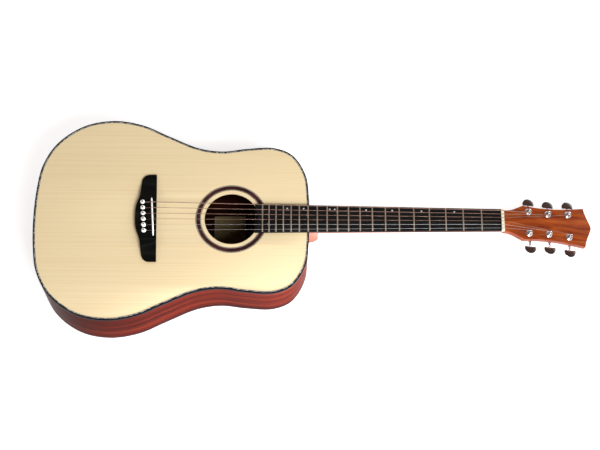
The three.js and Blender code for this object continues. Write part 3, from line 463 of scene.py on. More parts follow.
def plate_mesh(loops, low, high, edge=0.0):
    """A flat plate between two heights from an outline and holes, with its edges rounded."""
    curve = bpy.data.curves.new("plate", "CURVE")
    curve.dimensions = "2D"
    curve.fill_mode = "BOTH"
    curve.extrude = ((high - low) / 2 - edge) * MM
    curve.bevel_depth = edge * MM
    curve.bevel_resolution = 2
    curve.offset = -edge * MM
    for loop in loops:
        spline = curve.splines.new("POLY")
        spline.points.add(len(loop) - 1)
        for point, place in zip(spline.points, loop):
            point.co = (place[0] * MM, place[1] * MM, 0, 1)
        spline.use_cyclic_u = True
    holder = new_object("plate", curve)
    bpy.context.view_layer.update()
    shaped = holder.evaluated_get(bpy.context.evaluated_depsgraph_get())
    mesh = bpy.data.meshes.new_from_object(shaped)
    bpy.data.objects.remove(holder)
    mesh.transform(Matrix.Translation((0, 0, (low + high) / 2 * MM)))
    mesh.materials.clear()
    return weld(mesh)


def lathe_mesh(profile, steps=40):
    """A turned piece on the z axis from (radius, height) points."""
    loops = []
    for i in range(steps):
        angle = 2 * pi * i / steps
        loops.append([(r * cos(angle), r * sin(angle), z) for r, z in profile])
    return tube_mesh(loops, around=True, ring_closed=False)


def circle(x, y, radius, steps):
    turns = [2 * pi * i / steps for i in range(steps)]
    return [(x + radius * cos(turn), y + radius * sin(turn)) for turn in turns]


def catmull(points, closed, per_span=24):
    """Centripetal Catmull-Rom curve through points."""
    way = [Vector(p) for p in points]
    if closed:
        way = way[-1:] + way + way[:2]
    else:
        way = [2 * way[0] - way[1]] + way + [2 * way[-1] - way[-2]]
    out = []
    for p0, p1, p2, p3 in zip(way, way[1:], way[2:], way[3:]):
        d0, d1, d2 = ((b - a).length ** 0.5 for a, b in ((p0, p1), (p1, p2), (p2, p3)))
        t1 = ((p1 - p0) / d0 - (p2 - p0) / (d0 + d1) + (p2 - p1) / d1) * d1
        t2 = ((p2 - p1) / d1 - (p3 - p1) / (d1 + d2) + (p3 - p2) / d2) * d1
        for k in range(per_span):
            t = k / per_span
            a = 2 * t**3 - 3 * t**2 + 1
            b = t**3 - 2 * t**2 + t
            c = -2 * t**3 + 3 * t**2
            d = t**3 - t**2
            out.append(a * p1 + b * t1 + c * p2 + d * t2)
    if not closed:
        out.append(way[-2])
    return out


def spaced(points, count, closed):
    """Points at even steps along a polyline."""
    path = points + [points[0]] if closed else points
    lengths = [0.0]
    for a, b in zip(path, path[1:]):
        lengths.append(lengths[-1] + (b - a).length)
    out = []
    steps = count if closed else count - 1
    k = 0
    for i in range(count):
        target = lengths[-1] * i / steps
        while k < len(lengths) - 2 and lengths[k + 1] < target:
            k += 1
        span = lengths[k + 1] - lengths[k]
        out.append(path[k].lerp(path[k + 1], (target - lengths[k]) / span if span else 0))
    return out


# Body
RIM_STEPS = 360
BASS_HALF = [(-d, h) for d, h in HALF_OUTLINE]
TREBLE_HALF = [(-d, -h) for d, h in HALF_OUTLINE[1:-1]][::-1]
RIM = spaced(catmull(BASS_HALF + TREBLE_HALF, True), RIM_STEPS, True)


def rim_at(inset):
    """The body's outline, moved inward."""
    out = []
    for i, place in enumerate(RIM):
        tangent = (RIM[(i + 1) % RIM_STEPS] - RIM[i - 1]).normalized()
        out.append((place.x + inset * tangent.y, place.y - inset * tangent.x))
    return out


def back_height(x, y, above=0.0):
    """z of the back's outer face, or of a surface above it, at a plan place."""
    past = max(0.0, abs(y) - BACK_FLAT_HALF)
    level = BACK_LEVEL + past**2 / (2 * BACK_ARCH_RADIUS) + above
    return (level + x * sin(TAPER)) / cos(TAPER)


def make_soundboard(paint):
    mesh = plate_mesh([rim_at(BOARD_INSET), circle(HOLE_X, 0, HOLE_RADIUS, 128)], -TOP_THICKNESS, 0.0, 0.25)
    obj = finish_mesh("soundboard_top", mesh, paint, angle=30)
    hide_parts("soundboard")


def make_rim_trims(black, shell):
    """Bindings round both faces, and the shell strip between two thin black lines."""
    outer, inner = rim_at(0), rim_at(BINDING_WIDTH)
    shell_start, shell_end = PURFLING_INSETS
    strip_depth, corner = 1.2, 0.6
    obj = finish_mesh("top_binding_strip", plate_mesh([outer, inner], -BINDING_DEPTH, 0.0, 0.35), black)
    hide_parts("top_binding")
    mesh = plate_mesh([rim_at(shell_start), rim_at(shell_end)], -strip_depth, 0.0, 0.05)
    obj = finish_mesh("purfling_shell", mesh, shell)
    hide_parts("top_purfling")
    lines = [
        ("purfling_line_outer", BINDING_WIDTH + 0.02, shell_start - 0.02),
        ("purfling_line_inner", shell_end + 0.02, BOARD_INSET - 0.02),
    ]
    for name, start, end in lines:
        obj = finish_mesh(name, plate_mesh([rim_at(start), rim_at(end)], -strip_depth, -0.02), black)
    loops = []
    for (x0, y0), (x1, y1) in zip(outer, inner):
        mid = (x0 + (x1 - x0) * 0.25, y0 + (y1 - y0) * 0.25)
        section = [
            (x0, y0, back_height(x0, y0) + corner),
            (*mid, back_height(*mid) + 0.02),
            (x1, y1, back_height(x1, y1)),
            (x1, y1, back_height(x1, y1, BINDING_DEPTH)),
            (x0, y0, back_height(x0, y0, BINDING_DEPTH)),
        ]
        loops.append(section)
    obj = finish_mesh("back_binding_strip", tube_mesh(loops, around=True), black, angle=50)
    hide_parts("back_binding")


def side_mesh(first, last):
    """One bent side, skinned from its outline, with the grain's run stored as UV."""
    outer, inner = rim_at(0.0), rim_at(SIDE_THICKNESS)
    heights, edge = 6, BINDING_DEPTH + GAP
    loops, runs, run = [], {}, 0.0

    def station(place):
        return (round(place.x * 1e5), round(place.y * 1e5))

    for i in range(first, last + 1):
        k = i % RIM_STEPS
        (x0, y0), (x1, y1) = outer[k], inner[k]
        low0, low1 = back_height(x0, y0, edge), back_height(x1, y1, edge)
        ring = [(x0, y0, low0 + (-edge - low0) * j / heights) for j in range(heights + 1)]
        ring += [(x1, y1, -edge + (low1 + edge) * j / heights) for j in range(heights + 1)]
        loops.append(ring)
        runs[station(Vector((x0 * MM, y0 * MM)))] = run
        runs[station(Vector((x1 * MM, y1 * MM)))] = run
        run += dist(outer[k], outer[(i + 1) % RIM_STEPS]) * MM
    mesh = tube_mesh(loops)
    layer = mesh.uv_layers.new(name="run")
    for loop in mesh.loops:
        place = mesh.vertices[loop.vertex_index].co
        layer.data[loop.index].uv = (runs.get(station(place), 0.0), place.z)
    return mesh


def make_sides(paint):
    half = RIM_STEPS // 2
    for node, first, last in (("bass_side", 0, half), ("treble_side", half, RIM_STEPS)):
        obj = finish_mesh(f"{node}_wall", side_mesh(first, last), paint, angle=40)
        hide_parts(node)


def make_linings(paint):
    """Kerfed strips: small blocks side by side round the rim, under the top and over the back."""
    outer, inner = rim_at(SIDE_THICKNESS + 0.2), rim_at(8.0)
    height, under_top = 13.0, -TOP_THICKNESS - GAP
    block_half, neck_block_rear, tail_block_front = 41, -380, -850
    for name, top in (("lining_top", True), ("lining_back", False)):
        points, faces = [], []
        for i in range(0, RIM_STEPS, 2):
            j = (i + 1) % RIM_STEPS
            corners = [outer[i], inner[i], inner[j], outer[j]]
            across = sum(c[1] for c in corners) / 4
            along = sum(c[0] for c in corners) / 4
            if abs(across) < block_half and not tail_block_front <= along <= neck_block_rear:
                continue
            base = len(points)
            for x, y in corners:
                low = under_top - height if top else back_height(x, y, BACK_THICKNESS + 0.4)
                high = under_top if top else back_height(x, y, 16.0)
                points += [(x, y, low), (x, y, high)]
            quads = [(0, 2, 4, 6), (1, 7, 5, 3), (0, 1, 3, 2), (2, 3, 5, 4), (4, 5, 7, 6), (6, 7, 1, 0)]
            faces += [tuple(base + k for k in quad) for quad in quads]
        obj = finish_mesh(name, mesh_from(points, faces), paint, smooth=False)


def make_back(paint, raw, inside):
    """The arched back, its inner face painted darker than the outer face as shade inside the body, with the
    strips that cover its middle joint.
    """
    over = BACK_THICKNESS + GAP
    outline, centre, rings = rim_at(BINDING_WIDTH + 0.1), -620.0, 14
    loops = []
    for steps, above in ((range(rings + 1), 0.0), (range(rings, -1, -1), BACK_THICKNESS)):
        for r in steps:
            ring = [(centre + (x - centre) * r / rings, y * r / rings) for x, y in outline]
            loops.append([(x, y, back_height(x, y, above)) for x, y in ring])
    mesh = tube_mesh(loops)
    obj = finish_mesh("back_plate", mesh, paint, angle=40)
    # the inner face takes the darker copy of the mahogany: painted shade inside the body
    mesh.materials.append(inside)
    for polygon in mesh.polygons:
        polygon.material_index = 1 if polygon.normal.z > 0.5 else 0
    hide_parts("back_panel")
    # the joint strips take the darkened brace wood: painted shade inside the body
    spans = [(-412, -464), (-476, -569), (-581, -684), (-696, -779), (-791, -845)]
    for index, (front, rear) in enumerate(spans):
        section = [(-9, over), (-5, over + 2.1), (5, over + 2.1), (9, over)]
        loops = [[(x, y, back_height(x, y, h)) for y, h in section] for x in (front, rear)]
        strip = finish_mesh(f"back_joint_strip_{index + 1}", tube_mesh(loops), raw, smooth=False)


def make_braces(paint, dark):
    """The braces that the CAD leaves out: two more across the back, two tone bars and the finger braces."""
    over_back = lambda x, y: back_height(x, y, BACK_THICKNESS + GAP)
    top = lambda x, y: -TOP_THICKNESS - GAP

    def bar(name, start, end, height, width, low, sign, wood=paint):
        direction = (Vector(end) - Vector(start)).normalized()
        across = Vector((-direction.y, direction.x)) * width / 2
        steps = 14
        loops = []
        for i in range(steps + 1):
            t = i / steps
            middle = Vector(start).lerp(Vector(end), t)
            tall = 3.0 + (height - 3.0) * max(0.0, sin(pi * t)) ** 0.6
            ring = []
            for side, up in ((-1, 0), (-1, 0.8), (-0.4, 1), (0.4, 1), (1, 0.8), (1, 0)):
                x, y = middle.x + across.x * side, middle.y + across.y * side
                ring.append((x, y, low(x, y) + sign * up * tall))
            loops.append(ring)
        obj = finish_mesh(name, tube_mesh(loops), wood, angle=50)

    # the two extra back braces take the darkened brace wood: painted shade inside the body
    for index, (x, half) in enumerate(((-575, 132), (-785, 172))):
        bar(f"back_brace_{index + 3}", (x, -half), (x, half), 14, 8, over_back, 1, dark)
    bar("tone_bar_1", (-700, 96), (-752, -60), 9, 6, top, -1)
    bar("tone_bar_2", (-752, 128), (-806, -14), 8, 6, top, -1)
    for side, word in ((-1, "treble"), (1, "bass")):
        bar(f"finger_brace_{word}_1", (-600, side * 66), (-628, side * 128), 7, 5, top, -1)
        bar(f"finger_brace_{word}_2", (-546, side * 78), (-552, side * 118), 6, 5, top, -1)


def make_rosette(wood, light, black):
    """A wide rosewood ring with three fine lines on each side, proud of the top by a hair."""
    rings = [
        ("line_1", 57.0, 57.8, black), ("line_2", 57.85, 58.45, light), ("line_3", 58.5, 59.0, black),
        ("wood", 59.05, 65.2, wood),
        ("line_4", 65.25, 65.75, black), ("line_5", 65.8, 66.5, light), ("line_6", 66.55, 67.4, black),
    ]
    for name, inner, outer, paint in rings:
        mesh = plate_mesh([circle(HOLE_X, 0, outer, 160), circle(HOLE_X, 0, inner, 160)], -1.2, 0.02)
        obj = finish_mesh(f"rosette_{name}", mesh, paint)
        if name == "wood":
            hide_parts("rosette")


def make_label(paint):
    """A blank paper label over the joint strip, under the sound hole."""
    corners = [(-539, -22), (-479, -22), (-479, 44), (-539, 44)]
    points = [(x, y, back_height(x, y, 5.3) + lift) for lift in (0, 0.2) for x, y in corners]
    faces = [(0, 3, 2, 1), (4, 5, 6, 7), (0, 1, 5, 4), (1, 2, 6, 5), (2, 3, 7, 6), (3, 0, 4, 7)]
    finish_mesh("label", mesh_from(points, faces), paint, smooth=False)


# Neck, board, frets
def fret_distance(fret):
    return SCALE_LENGTH * (1 - 2 ** (-fret / 12))


def board_half(distance):
    return (NUT_WIDTH + (BODY_FRET_WIDTH - NUT_WIDTH) * distance / fret_distance(BODY_FRET)) / 2


def board_face(y):
    return BOARD_TOP - y * y / (2 * BOARD_RADIUS)


def make_fretboard(paint):
    """A thin board with a cambered face, ending in the curve of the sound hole."""
    across, along, end, edge_round = 24, 30, 455, 0.25
    corner = sqrt((HOLE_RADIUS + 1.3) ** 2 - board_half(end) ** 2)
    columns = []
    for j in range(across + 1):
        side = -1 + 2 * j / across
        y_end = side * board_half(end)
        x_end = HOLE_X + max(sqrt((HOLE_RADIUS - 0.5) ** 2 - y_end**2), corner)
        places = [x_end * i / along for i in range(along + 1)]
        columns.append([(x, side * board_half(-x)) for x in places])
    loops = []
    for i in range(along + 1):
        row = [column[i] for column in columns]
        drops = [edge_round] + [0.0] * (across - 1) + [edge_round]
        top = [(x, y, board_face(y) - drop) for (x, y), drop in zip(row, drops)]
        loops.append(top + [(x, y, GAP) for x, y in reversed(row)])
    obj = finish_mesh("fretboard_wood", tube_mesh(loops), paint, angle=40)
    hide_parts("fretboard")


def make_frets(paint):
    section = [(-1.2, -0.15), (-1.1, 0.3), (-0.8, 0.68), (-0.4, 0.9), (0, 0.98)]
    section += [(-x, z) for x, z in section[-2::-1]]
    steps = 16
    for fret in range(1, FRETS + 1):
        distance = fret_distance(fret)
        half = board_half(distance) - 0.25
        loops = []
        for i in range(steps + 1):
            y = (-1 + 2 * i / steps) * half
            squeeze = 0.35 if i in (0, steps) else 1.0
            ring = [(x, z if z < 0 else z * squeeze) for x, z in section]
            loops.append([(-distance + x, y, board_face(y) + z) for x, z in ring])
        obj = finish_mesh(f"fret_{fret:02d}", tube_mesh(loops), paint, angle=60)


def make_dots(paint):
    profile = [(0, -1.2), (1.55, -1.2), (1.55, 0.02), (1.3, 0.06), (0, 0.06)]
    for fret in (3, 5, 7, 9, 12, 15, 17):
        middle = (fret_distance(fret - 1) + fret_distance(fret)) / 2
        y = board_half(middle) - 8.0
        for index, aside in enumerate((-4.6, 4.6) if fret == 12 else (0.0,)):
            place = GUITAR @ shift(-middle + aside, y, board_face(y))
            obj = finish_mesh(f"dot_{fret:02d}_{index + 1}", lathe_mesh(profile, 28), paint, matrix=place)


def make_neck(paint):
    """Shaft and heel in one carved skin of half-width against depth, from the body to under the nut."""
    heel_plane, heel_reach, heel_flare, heel_foot = 358.1, 19.0, 43.0, 10.5
    depth_at_nut, depth_at_body, belly, foot_z = 15.2, 17.6, 0.85, -DEPTH_AT_NECK + 2.8

    def shaft_depth(x):
        return depth_at_nut + (depth_at_body - depth_at_nut) * max(0.0, -x) / heel_plane

    def shaft_half(x, z):
        depth = shaft_depth(x)
        if -z >= depth:
            return 0.0
        t = (-z / depth) ** (1 / belly)
        return board_half(-x) * sqrt(max(0.0, 1 - t * t))

    def heel_half(x, z):
        drop = min(max(-z / DEPTH_AT_NECK, 0.0), 1.0)
        reach = heel_reach + heel_flare * (1 - drop) ** 6
        across = heel_foot + (board_half(heel_plane) - GAP - heel_foot) * (1 - drop) ** 1.6
        out = (x + heel_plane) / reach
        return across * sqrt(max(0.0, 1 - out * out)) if out < 1 else 0.0

    def depth_at(x):
        low, high = max(foot_z, back_height(x, 0, 2.8)), -shaft_depth(x) + 0.01
        if heel_half(x, low) > 0.5:
            return low
        for _ in range(30):
            mid = (low + high) / 2
            if heel_half(x, mid) > 0.3:
                high = mid
            else:
                low = mid
        return min(high, -shaft_depth(x))

    stations = [-heel_plane + heel_reach * k / 10 for k in range(11)]
    stations += [-heel_plane + heel_reach + (heel_flare + 12) * (k / 12) ** 1.3 for k in range(1, 13)]
    far = stations[-1]
    stations += [far + (5.4 - far) * k / 22 for k in range(1, 23)]
    rows = 26
    loops = []
    for x in stations:
        deep = depth_at(x)
        right = []
        for k in range(rows + 1):
            z = deep * sin(pi / 2 * k / rows)
            open_foot = k < rows or heel_half(x, deep) > 0.5
            right.append((x, max(shaft_half(x, z), heel_half(x, z)) if open_foot else 0.0, z))
        left = [(x, -y, z) for _, y, z in reversed(right)]
        loops.append(right + left)
    obj = finish_mesh("neck_shaft", tube_mesh(loops), paint, angle=50)
    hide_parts("neck")


HEAD_FLARE = [(-1.5, 21.1), (8, 21.6), (18, 24), (30, 29.6), (39, 33.8)]
HEAD_SIDE = [(39, 33.8), (60, 31.9), (82, 31.2), (106, 32), (134, 34.6), (161.5, 38.8)]
HEAD_END = [(161.5, 38.8), (163.3, 31), (166.5, 22), (171, 11.5), (174.2, 4), (174.8, 0)]
POSTS = [(49.2, 21.4), (88.3, 20.0), (128.8, 22.6)]


def head_outline():
    half = []
    for points in (HEAD_FLARE, HEAD_SIDE, HEAD_END):
        half += spaced(catmull(points, False), 14, False)[1 if half else 0:]
    bass = [(p.x, p.y) for p in half]
    return [(x, -y) for x, y in bass[:-1]] + bass[::-1]


def make_head(paint):
    """The flat head with its six holes, and the throat that carries it on the neck."""
    holes = [circle(s, side * y, 4.9, 32) for s, y in POSTS for side in (-1, 1)]
    mesh = plate_mesh([head_outline()] + holes, -HEAD_THICKNESS, 0.0, 0.9)
    obj = finish_mesh("headstock", mesh, paint, matrix=HEAD, angle=35)
    throat, start, length, steps = [], 4.4, 30.0, 12
    for i in range(steps + 1):
        x = start + length * i / steps
        along = i / steps
        top = min(0.0, -(x - HEAD_ORIGIN[0]) * tan(HEAD_TILT)) - 2
        bottom = -15.2 - 3.6 * along
        half = NUT_WIDTH / 2 * (1 - 0.3 * along**2)
        ring = []
        for k in range(25):
            angle = pi * k / 24
            ring.append((x, -half * cos(angle), top + (bottom - top) * sin(angle) ** 0.85))
        throat.append(ring)
    obj = finish_mesh("neck_throat", tube_mesh(throat), paint, angle=50)


# Bridge
BRIDGE_FRONT = -642.5
BRIDGE_HEIGHT = 8.5
BRIDGE_SLANT = radians(1.4)
HALF_BRIDGE = [
    (0, 39.6), (18, 38.7), (28, 36.3), (38, 32.6), (50, 30), (65, 28.5), (76, 26.8), (83, 22.5),
    (86.3, 14), (86.3, 0),
]
WING = [(0, 0), (3, 2.2), (8, 3.6), (16, 4.4), (27, 4.9), (45, 5.1)]


def bridge_top(x, y):
    """Height of the bridge: flat in the middle, falling in a curve past a slanted crease on each side."""
    crease_slope = 8 / 27
    crease = 49.0 + (BRIDGE_FRONT - x) * crease_slope
    out = (abs(y) - crease) * cos(atan(crease_slope))
    if out <= 0:
        return BRIDGE_HEIGHT
    for (a, da), (b, db) in zip(WING, WING[1:]):
        if out <= b:
            return BRIDGE_HEIGHT - (da + (db - da) * (out - a) / (b - a))
    return BRIDGE_HEIGHT - WING[-1][1]


def make_bridge(paint):
    edge = spaced(catmull([(BRIDGE_FRONT - d, y) for y, d in HALF_BRIDGE], False), 90, False)
    tip_depth, half_length = 14, 86.3
    rear = [(p.x, p.y) for p in edge if p.x < BRIDGE_FRONT - tip_depth]
    rear += [(BRIDGE_FRONT - (tip_depth - 0.1) * (1 - k / 8), half_length) for k in range(9)]
    rear = [(x, -y) for x, y in rear[::-1]] + rear[1:]
    rows = 22
    front = [(BRIDGE_FRONT, y) for _, y in rear]
    top_grid, count = [], len(rear)
    for i in range(rows + 1):
        t = 0.5 - 0.5 * cos(pi * i / rows)
        pairs = zip(front, rear)
        top_grid.append([(fx + (rx - fx) * t, fy + (ry - fy) * t) for (fx, fy), (rx, ry) in pairs])
    points, faces = [], []
    for i, row in enumerate(top_grid):
        for j, (x, y) in enumerate(row):
            at_rim = i in (0, rows) or j in (0, count - 1)
            edge_drop = 0.5 if at_rim else 0.08 if i in (1, rows - 1) else 0.0
            points.append((x, y, bridge_top(x, y) - edge_drop))
    for i in range(rows):
        for j in range(count - 1):
            a = i * count + j
            faces.append((a, a + 1, a + count + 1, a + count))
    rim = list(range(count)) + [i * count + count - 1 for i in range(1, rows + 1)]
    rim += [rows * count + j for j in range(count - 2, -1, -1)] + [i * count for i in range(rows - 1, 0, -1)]
    base = len(points)
    for k in rim:
        x, y, _ = points[k]
        points.append((x, y, GAP / 2))
    for k in range(len(rim)):
        n = (k + 1) % len(rim)
        faces.append((rim[k], rim[n], base + n, base + k))
    faces.append(tuple(base + k for k in range(len(rim))))
    turn = Matrix.Rotation(BRIDGE_SLANT, 4, "Z")
    pivot = Matrix.Translation((BRIDGE_FRONT * MM, 0, 0))
    place = GUITAR @ pivot @ turn @ pivot.inverted()
    obj = finish_mesh("bridge_wood", mesh_from(points, faces), paint, matrix=place, angle=28)
    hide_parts("bridge")


SADDLE_SLANT = BRIDGE_SLANT + atan2(3.5, 74)
PIN_SPREAD = 56.4
NUT_SPREAD = 34.6
PIN_ROW_X = -666.6
SADDLE_X = -649.6


def string_side(index):
    return 1 - 2 * index / (len(STRINGS) - 1)


def pin_place(index):
    y = string_side(index) * PIN_SPREAD / 2
    return PIN_ROW_X - y * tan(SADDLE_SLANT), y


def make_saddle(paint):
    loops, half_length = [], 37.0
    for i in range(31):
        y = -half_length + 2 * half_length * i / 30
        end = min(1.0, (half_length - abs(y)) / 1.5)
        half = 1.5 * (0.55 + 0.45 * sqrt(max(0.0, end)))
        ring = [(-half, 3.9), (half, 3.9)]
        ring += [(half * cos(pi * k / 8), 9.8 + 1.45 * sin(pi * k / 8)) for k in range(9)]
        slant = Matrix.Rotation(SADDLE_SLANT, 2)
        row = []
        for x, z in ring:
            place = slant @ Vector((x, y))
            row.append((place.x + SADDLE_X, place.y, z))
        loops.append(row)
    obj = finish_mesh("saddle_bone", tube_mesh(loops), paint, angle=50)
    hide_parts("saddle")


def make_pins(white, black):
    """Turned pins with domed heads, each with a dark dot let into the top."""
    head = 10.4
    dome = [
        (2.5, 0), (3.2, 0.05), (3.9, 0.4), (4.2, 1.1), (4.25, 1.8), (4.05, 2.6), (3.6, 3.3),
        (2.9, 3.9), (2.0, 4.35), (1.0, 4.6), (0, 4.65),
    ]
    stem = [(0, -10), (1.7, -9.6), (2.1, -8)]
    dot = [(0, 3.6), (1.5, 3.6), (1.5, 4.56), (1.1, 4.68), (0, 4.74)]
    profile = stem + [(r, head + z) for r, z in dome]
    dot_profile = [(r, head + z) for r, z in dot]
    for index, string in enumerate(STRINGS):
        on_pin = {"matrix": GUITAR @ shift(*pin_place(index), 0), "body": f"pin_{string}", "angle": 60}
        obj = finish_mesh(f"pin_{string}", lathe_mesh(profile, 44), white, **on_pin)
        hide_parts(f"bridge_pin_{string}")
        obj = finish_mesh(f"pin_dot_{string}", lathe_mesh(dot_profile, 28), black, **on_pin)


# Strings and tuners
def tuner_places():
    """Each string's name with its tuner's side, distance along the head and place across it."""
    out = []
    for index, string in enumerate(STRINGS):
        side = 1 if index < 3 else -1
        row = index if side > 0 else 5 - index
        s, half = POSTS[row]
        out.append((string, side, s, side * half))
    return out


def string_curve(name, points, radius, paint, matrix, body):
    curve = bpy.data.curves.new(name, "CURVE")
    curve.dimensions = "3D"
    curve.bevel_depth = radius * MM
    curve.bevel_resolution = 3
    curve.use_fill_caps = True
    spline = curve.splines.new("POLY")
    spline.points.add(len(points) - 1)
    for point, place in zip(spline.points, points):
        point.co = (*(Vector(place) * MM), 1)
    curve.materials.append(paint)
    curve.transform(matrix)
    obj = new_object(name, curve)
    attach(obj, body)
    return obj


def make_strings(wound, plain):
    to_head = HEAD.inverted() @ GUITAR
    for index, (string, side, s, y) in enumerate(tuner_places()):
        radius = STRING_RADII[index]
        pin_x, pin_y = pin_place(index)
        nut_y = string_side(index) * NUT_SPREAD / 2
        rise_x = pin_x + 2.8 + radius
        level = 8.8 + radius
        saddle_x = SADDLE_X - pin_y * tan(SADDLE_SLANT)
        crest, nut_z = 11.3 + 0.05 + radius, 8.0 + radius

        def at(x, z):
            return (x, pin_y + (nut_y - pin_y) * (x - rise_x) / (GAP - rise_x), z)

        bend = [at(rise_x, -8), at(rise_x, level - 1.6)]
        turns = (0.4, 0.8, 1.2, 1.5)
        bend += [at(rise_x + 1.5 * (1 - cos(a)), level - 1.6 + 1.6 * sin(a)) for a in turns]
        over_saddle = ((-1.6, -0.28), (-0.7, -0.05), (0, 0), (1.6, -0.02))
        bend += [at(saddle_x + x, crest + z) for x, z in over_saddle]
        bend.append(at(-400, nut_z + (crest - nut_z) * 399 / 648))
        bend += [at(GAP + 0.8, nut_z), at(3.0, nut_z - 0.02), at(4.9, nut_z - 0.15)]
        reach = POST_RADIUS + 0.1 + radius
        entry = to_head.inverted() @ (Vector((s, y - side * reach, WRAP_TOP)) * MM)
        bend.append(tuple(entry / MM))
        slot, paint = ("bronze", wound) if index < 4 else ("steel", plain)
        obj = string_curve(f"string_run_{string}", bend, radius, paint, GUITAR, ROOT)
        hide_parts(f"string_{string}")
        turns, per_turn = (1.75 if index < 2 else 2.75), 28
        pitch = max(2 * radius + 0.06, 0.75)
        count = int(turns * per_turn)
        coil = []
        for i in range(count + 1):
            angle = -pi / 2 + 2 * pi * i / per_turn
            drop = pitch * i / per_turn
            coil.append((reach * cos(angle), side * reach * sin(angle), WRAP_TOP - drop))
        post = HEAD @ shift(s, y, 0)
        x, z = coil[-1][0], coil[-1][2]
        coil.append((x * 0.6, coil[-1][1] * 0.6, z + 0.3))
        string_curve(f"string_wrap_{string}", coil, radius, paint, post, f"post_{string}")
        stub = [(-5.6, side * 1.2, 6.8), (-3.4, side * 0.5, 6.5), (0, 0, 6.3), (3.3, 0, 6.3)]
        string_curve(f"string_end_{string}", stub, min(radius, 0.6), paint, post, f"post_{string}")


WRAP_TOP = 7.9
KNOB = [(0, 0.4), (5.5, 0.35), (10.4, 0.4), (11.9, 2.7), (10.8, 8.6), (6.4, 13), (0, 14.6)]
KNOB_START = 18.8
KNOB_HALF_THICKNESS = 2.7
GEAR_DEPTH = 5.2


def knob_mesh():
    """Half-moon button: its rim swelled into a soft pillow on both faces."""
    other = [(-s, out) for s, out in KNOB[1:-1]][::-1]
    rim = spaced(catmull([(s, out) for s, out in KNOB] + other, True), 64, True)
    centre = Vector((0, 7.0))
    shaft_end = Vector((0, KNOB_START))
    loops = []
    layers = [(-1.0, 0.0), (-0.985, 0.5), (-0.955, 0.8), (-0.91, 0.93), (-0.78, 0.98), (-0.4, 1.0), (0, 1.0)]
    layers += [(-h, f) for h, f in layers[-2::-1]]
    for height, fill in layers:
        ring = [shaft_end + centre + (p - centre) * max(fill, 0.02) for p in rim]
        loops.append([(p.x, p.y, KNOB_HALF_THICKNESS * height) for p in ring])
    return tube_mesh(loops)


def ribbed_shaft():
    """Outline of a button's shaft, from the worm to inside the button, with three rings where it shows."""
    profile = [(0, -6.2), (1.4, -6.2), (2.1, -5.6), (2.1, 5.6), (1.65, 6.2), (1.65, 11.9)]
    ring = [(2.5, 0), (2.6, 0.2), (2.6, 1.4), (2.5, 1.6), (2.05, 1.7), (2.05, 2.1)]
    for k in range(3):
        profile += [(r, 12.2 + 2.2 * k + z) for r, z in ring]
    return profile + [(2.4, 19.0), (1.9, 20.4), (0, 22)]


def make_tuners(chrome, steel):
    """For each string: bushing with washer, post with gear, and half-moon button with shaft and worm."""
    washer = [
        (3.3, -6), (4.6, -6), (4.6, 0.15), (6.35, 0.15), (6.5, 0.4), (6.4, 0.9), (6.0, 1.25), (5.2, 1.4),
        (4.9, 1.65), (4.8, 2.6), (4.6, 2.95), (4.2, 3.1), (3.6, 3.15), (3.35, 3.0), (3.3, -6),
    ]
    foot = -GEAR_DEPTH - 2 - HEAD_THICKNESS
    post = [
        (0, foot), (3.05, foot), (3.1, 3.9), (2.95, 4.4), (2.72, 4.9), (2.7, 6.2), (2.7, 7.8), (2.8, 8.3),
        (3.05, 8.8), (3.1, 9.2), (3.1, 9.8), (2.95, 10.2), (2.6, 10.45), (2.2, 10.5), (1.9, 10.2), (0, 10.1),
    ]
    gear, corners, worm_offset = [], 4 * GEAR_TEETH, 7.9
    for k in range(corners):
        angle = 2 * pi * k / corners
        radius = 5.4 if k % 4 in (1, 2) else 4.8
        gear.append((radius * cos(angle), radius * sin(angle)))
    lying = Matrix.Rotation(-pi / 2, 4, "X")
    for string, side, s, y in tuner_places():
        place = HEAD @ shift(s, y, 0)
        obj = finish_mesh(f"bushing_{string}", lathe_mesh(washer, 48), chrome, matrix=place, angle=45)
        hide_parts(f"tuner_bushing_{string}")
        on_post = {"matrix": place, "body": f"post_{string}"}
        obj = finish_mesh(f"post_shaft_{string}", lathe_mesh(post, 40), chrome, angle=45, **on_post)
        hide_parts(f"tuner_post_{string}")
        obj = finish_mesh(f"post_gear_{string}", plate_mesh([gear], foot, foot + 4), steel, **on_post)
        place = HEAD @ shift(s + worm_offset, y, -HEAD_THICKNESS - GEAR_DEPTH)
        if side < 0:
            place = place @ Matrix.Rotation(pi, 4, "Z")
        button = f"button_{string}"
        obj = finish_mesh(f"knob_{string}", knob_mesh(), chrome, matrix=place, body=button, angle=25)
        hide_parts(f"tuner_button_{string}")
        mesh = lathe_mesh(ribbed_shaft(), 28)
        obj = finish_mesh(f"knob_shaft_{string}", mesh, chrome, matrix=place @ lying, body=button, angle=50)


def dress_cad(paints):
    """Own surfaces and softened edges for the CAD pieces that stay."""
    for name, (paint, width) in paints.items():
        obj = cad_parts[name]
        obj.data.materials.clear()
        obj.data.materials.append(paint)
        for polygon in obj.data.polygons:
            polygon.material_index = 0
        if width:
            bevel = obj.modifiers.new("soft_edge", "BEVEL")
            bevel.width = width * MM
            bevel.segments = 2
            bevel.limit_method = "ANGLE"
            bevel.angle_limit = radians(40)
            bevel.harden_normals = True


add_camera()
add_studio()
add_floor()

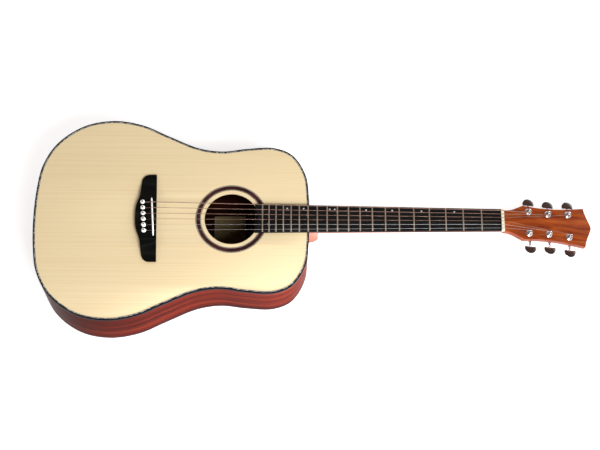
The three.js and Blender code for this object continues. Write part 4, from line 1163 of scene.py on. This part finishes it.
spruce = spruce_paint()
side_wood = mahogany_paint("mahogany_side", (34, 9, 7), (62, 17, 11), (92, 34, 21), 1.03, (4, 120, 120), True)
back_wood = mahogany_paint("mahogany_back", (56, 16, 11), (94, 32, 22), (126, 50, 35), 1.2)
neck_wood = mahogany_paint("mahogany_neck", (100, 36, 14), (132, 56, 24), (158, 78, 38), 1.3)
head_wood = mahogany_paint("mahogany_head", (112, 38, 11), (152, 64, 16), (184, 92, 34), 1.3, (9, 260, 150))
# the back's mahogany made much darker for its inner face: painted shade inside the body
shaded_inside_wood = mahogany_paint("mahogany_inside_painted_shade", (26, 10, 8), (42, 18, 14), (56, 26, 20), 1.05)
rosette_wood = mahogany_paint("rosette_rosewood", (34, 14, 13), (62, 30, 28), (84, 44, 40), 1.3, (60, 60, 60))
dark_wood = dark_wood_paint("dark_wood", (10, 10, 11), (19, 19, 20), (36, 35, 36), 1.2)
bridge_wood = dark_wood_paint("bridge_wood", (10, 10, 10), (18, 18, 17), (34, 33, 31), 1.08)
brace_wood = raw_wood_paint("brace_spruce", (196, 166, 112), (226, 200, 152))
block_wood = raw_wood_paint("block_mahogany", (84, 50, 32), (120, 78, 52))
# mahogany much darker than the blocks, for the back's braces and joint strips: painted shade inside the body
shaded_brace_wood = raw_wood_paint("brace_mahogany_painted_shade", (38, 24, 16), (62, 40, 28))
black = lacquer_paint("binding_black", (20, 22, 28), 0.22, index=1.03)
dot_pearl = lacquer_paint("dot_pearl", (226, 228, 226), 0.2)
bone = lacquer_paint("bone", (240, 232, 210), 0.32, 0.03, 0.2)
white = lacquer_paint("pin_white", (244, 242, 232), 0.22, 0.02, 0.5)
saddle_bone = lacquer_paint("saddle_bone", (244, 243, 240), 0.32, 0.02, 0.2)
line_light = lacquer_paint("rosette_light", (196, 190, 182), 0.3, 0.03, 0.3)
shell = pearl_paint()
chrome = metal_paint("chrome", (226, 228, 232), 0.10)
steel = metal_paint("nickel_steel", (214, 206, 190), 0.24)
fret_wire = metal_paint("fret_wire", (164, 148, 130), 0.42, metallic=0.55)
plain_steel = metal_paint("plain_string", (196, 196, 196), 0.4)
wound = wound_paint()
paper = paper_paint()

make_soundboard(spruce)
make_rim_trims(black, shell)
make_sides(side_wood)
make_linings(block_wood)
make_back(back_wood, shaded_brace_wood, shaded_inside_wood)
make_braces(brace_wood, shaded_brace_wood)
make_rosette(rosette_wood, line_light, black)
make_label(paper)
make_fretboard(dark_wood)
make_frets(fret_wire)
make_dots(dot_pearl)
make_neck(neck_wood)
make_head(head_wood)
make_bridge(bridge_wood)
make_saddle(saddle_bone)
make_pins(white, black)
make_strings(wound, plain_steel)
make_tuners(chrome, steel)

dress_cad({
    "nut": (bone, 0.3),
    "heel_cap": (black, 0.3),
    "end_pin": (white, 0.0),
    "truss_rod": (steel, 0.0),
    "neck_block": (block_wood, 0.5),
    "tail_block": (block_wood, 0.5),
    "bridge_plate": (block_wood, 0.0),
    "x_brace_bass": (brace_wood, 0.6),
    "x_brace_treble": (brace_wood, 0.6),
    "upper_brace": (brace_wood, 0.6),
    "back_brace_upper": (shaded_brace_wood, 0.6),
    "back_brace_lower": (shaded_brace_wood, 0.6),
    **{f"tuner_housing_{string}": (chrome, 0.7) for string in STRINGS},
})
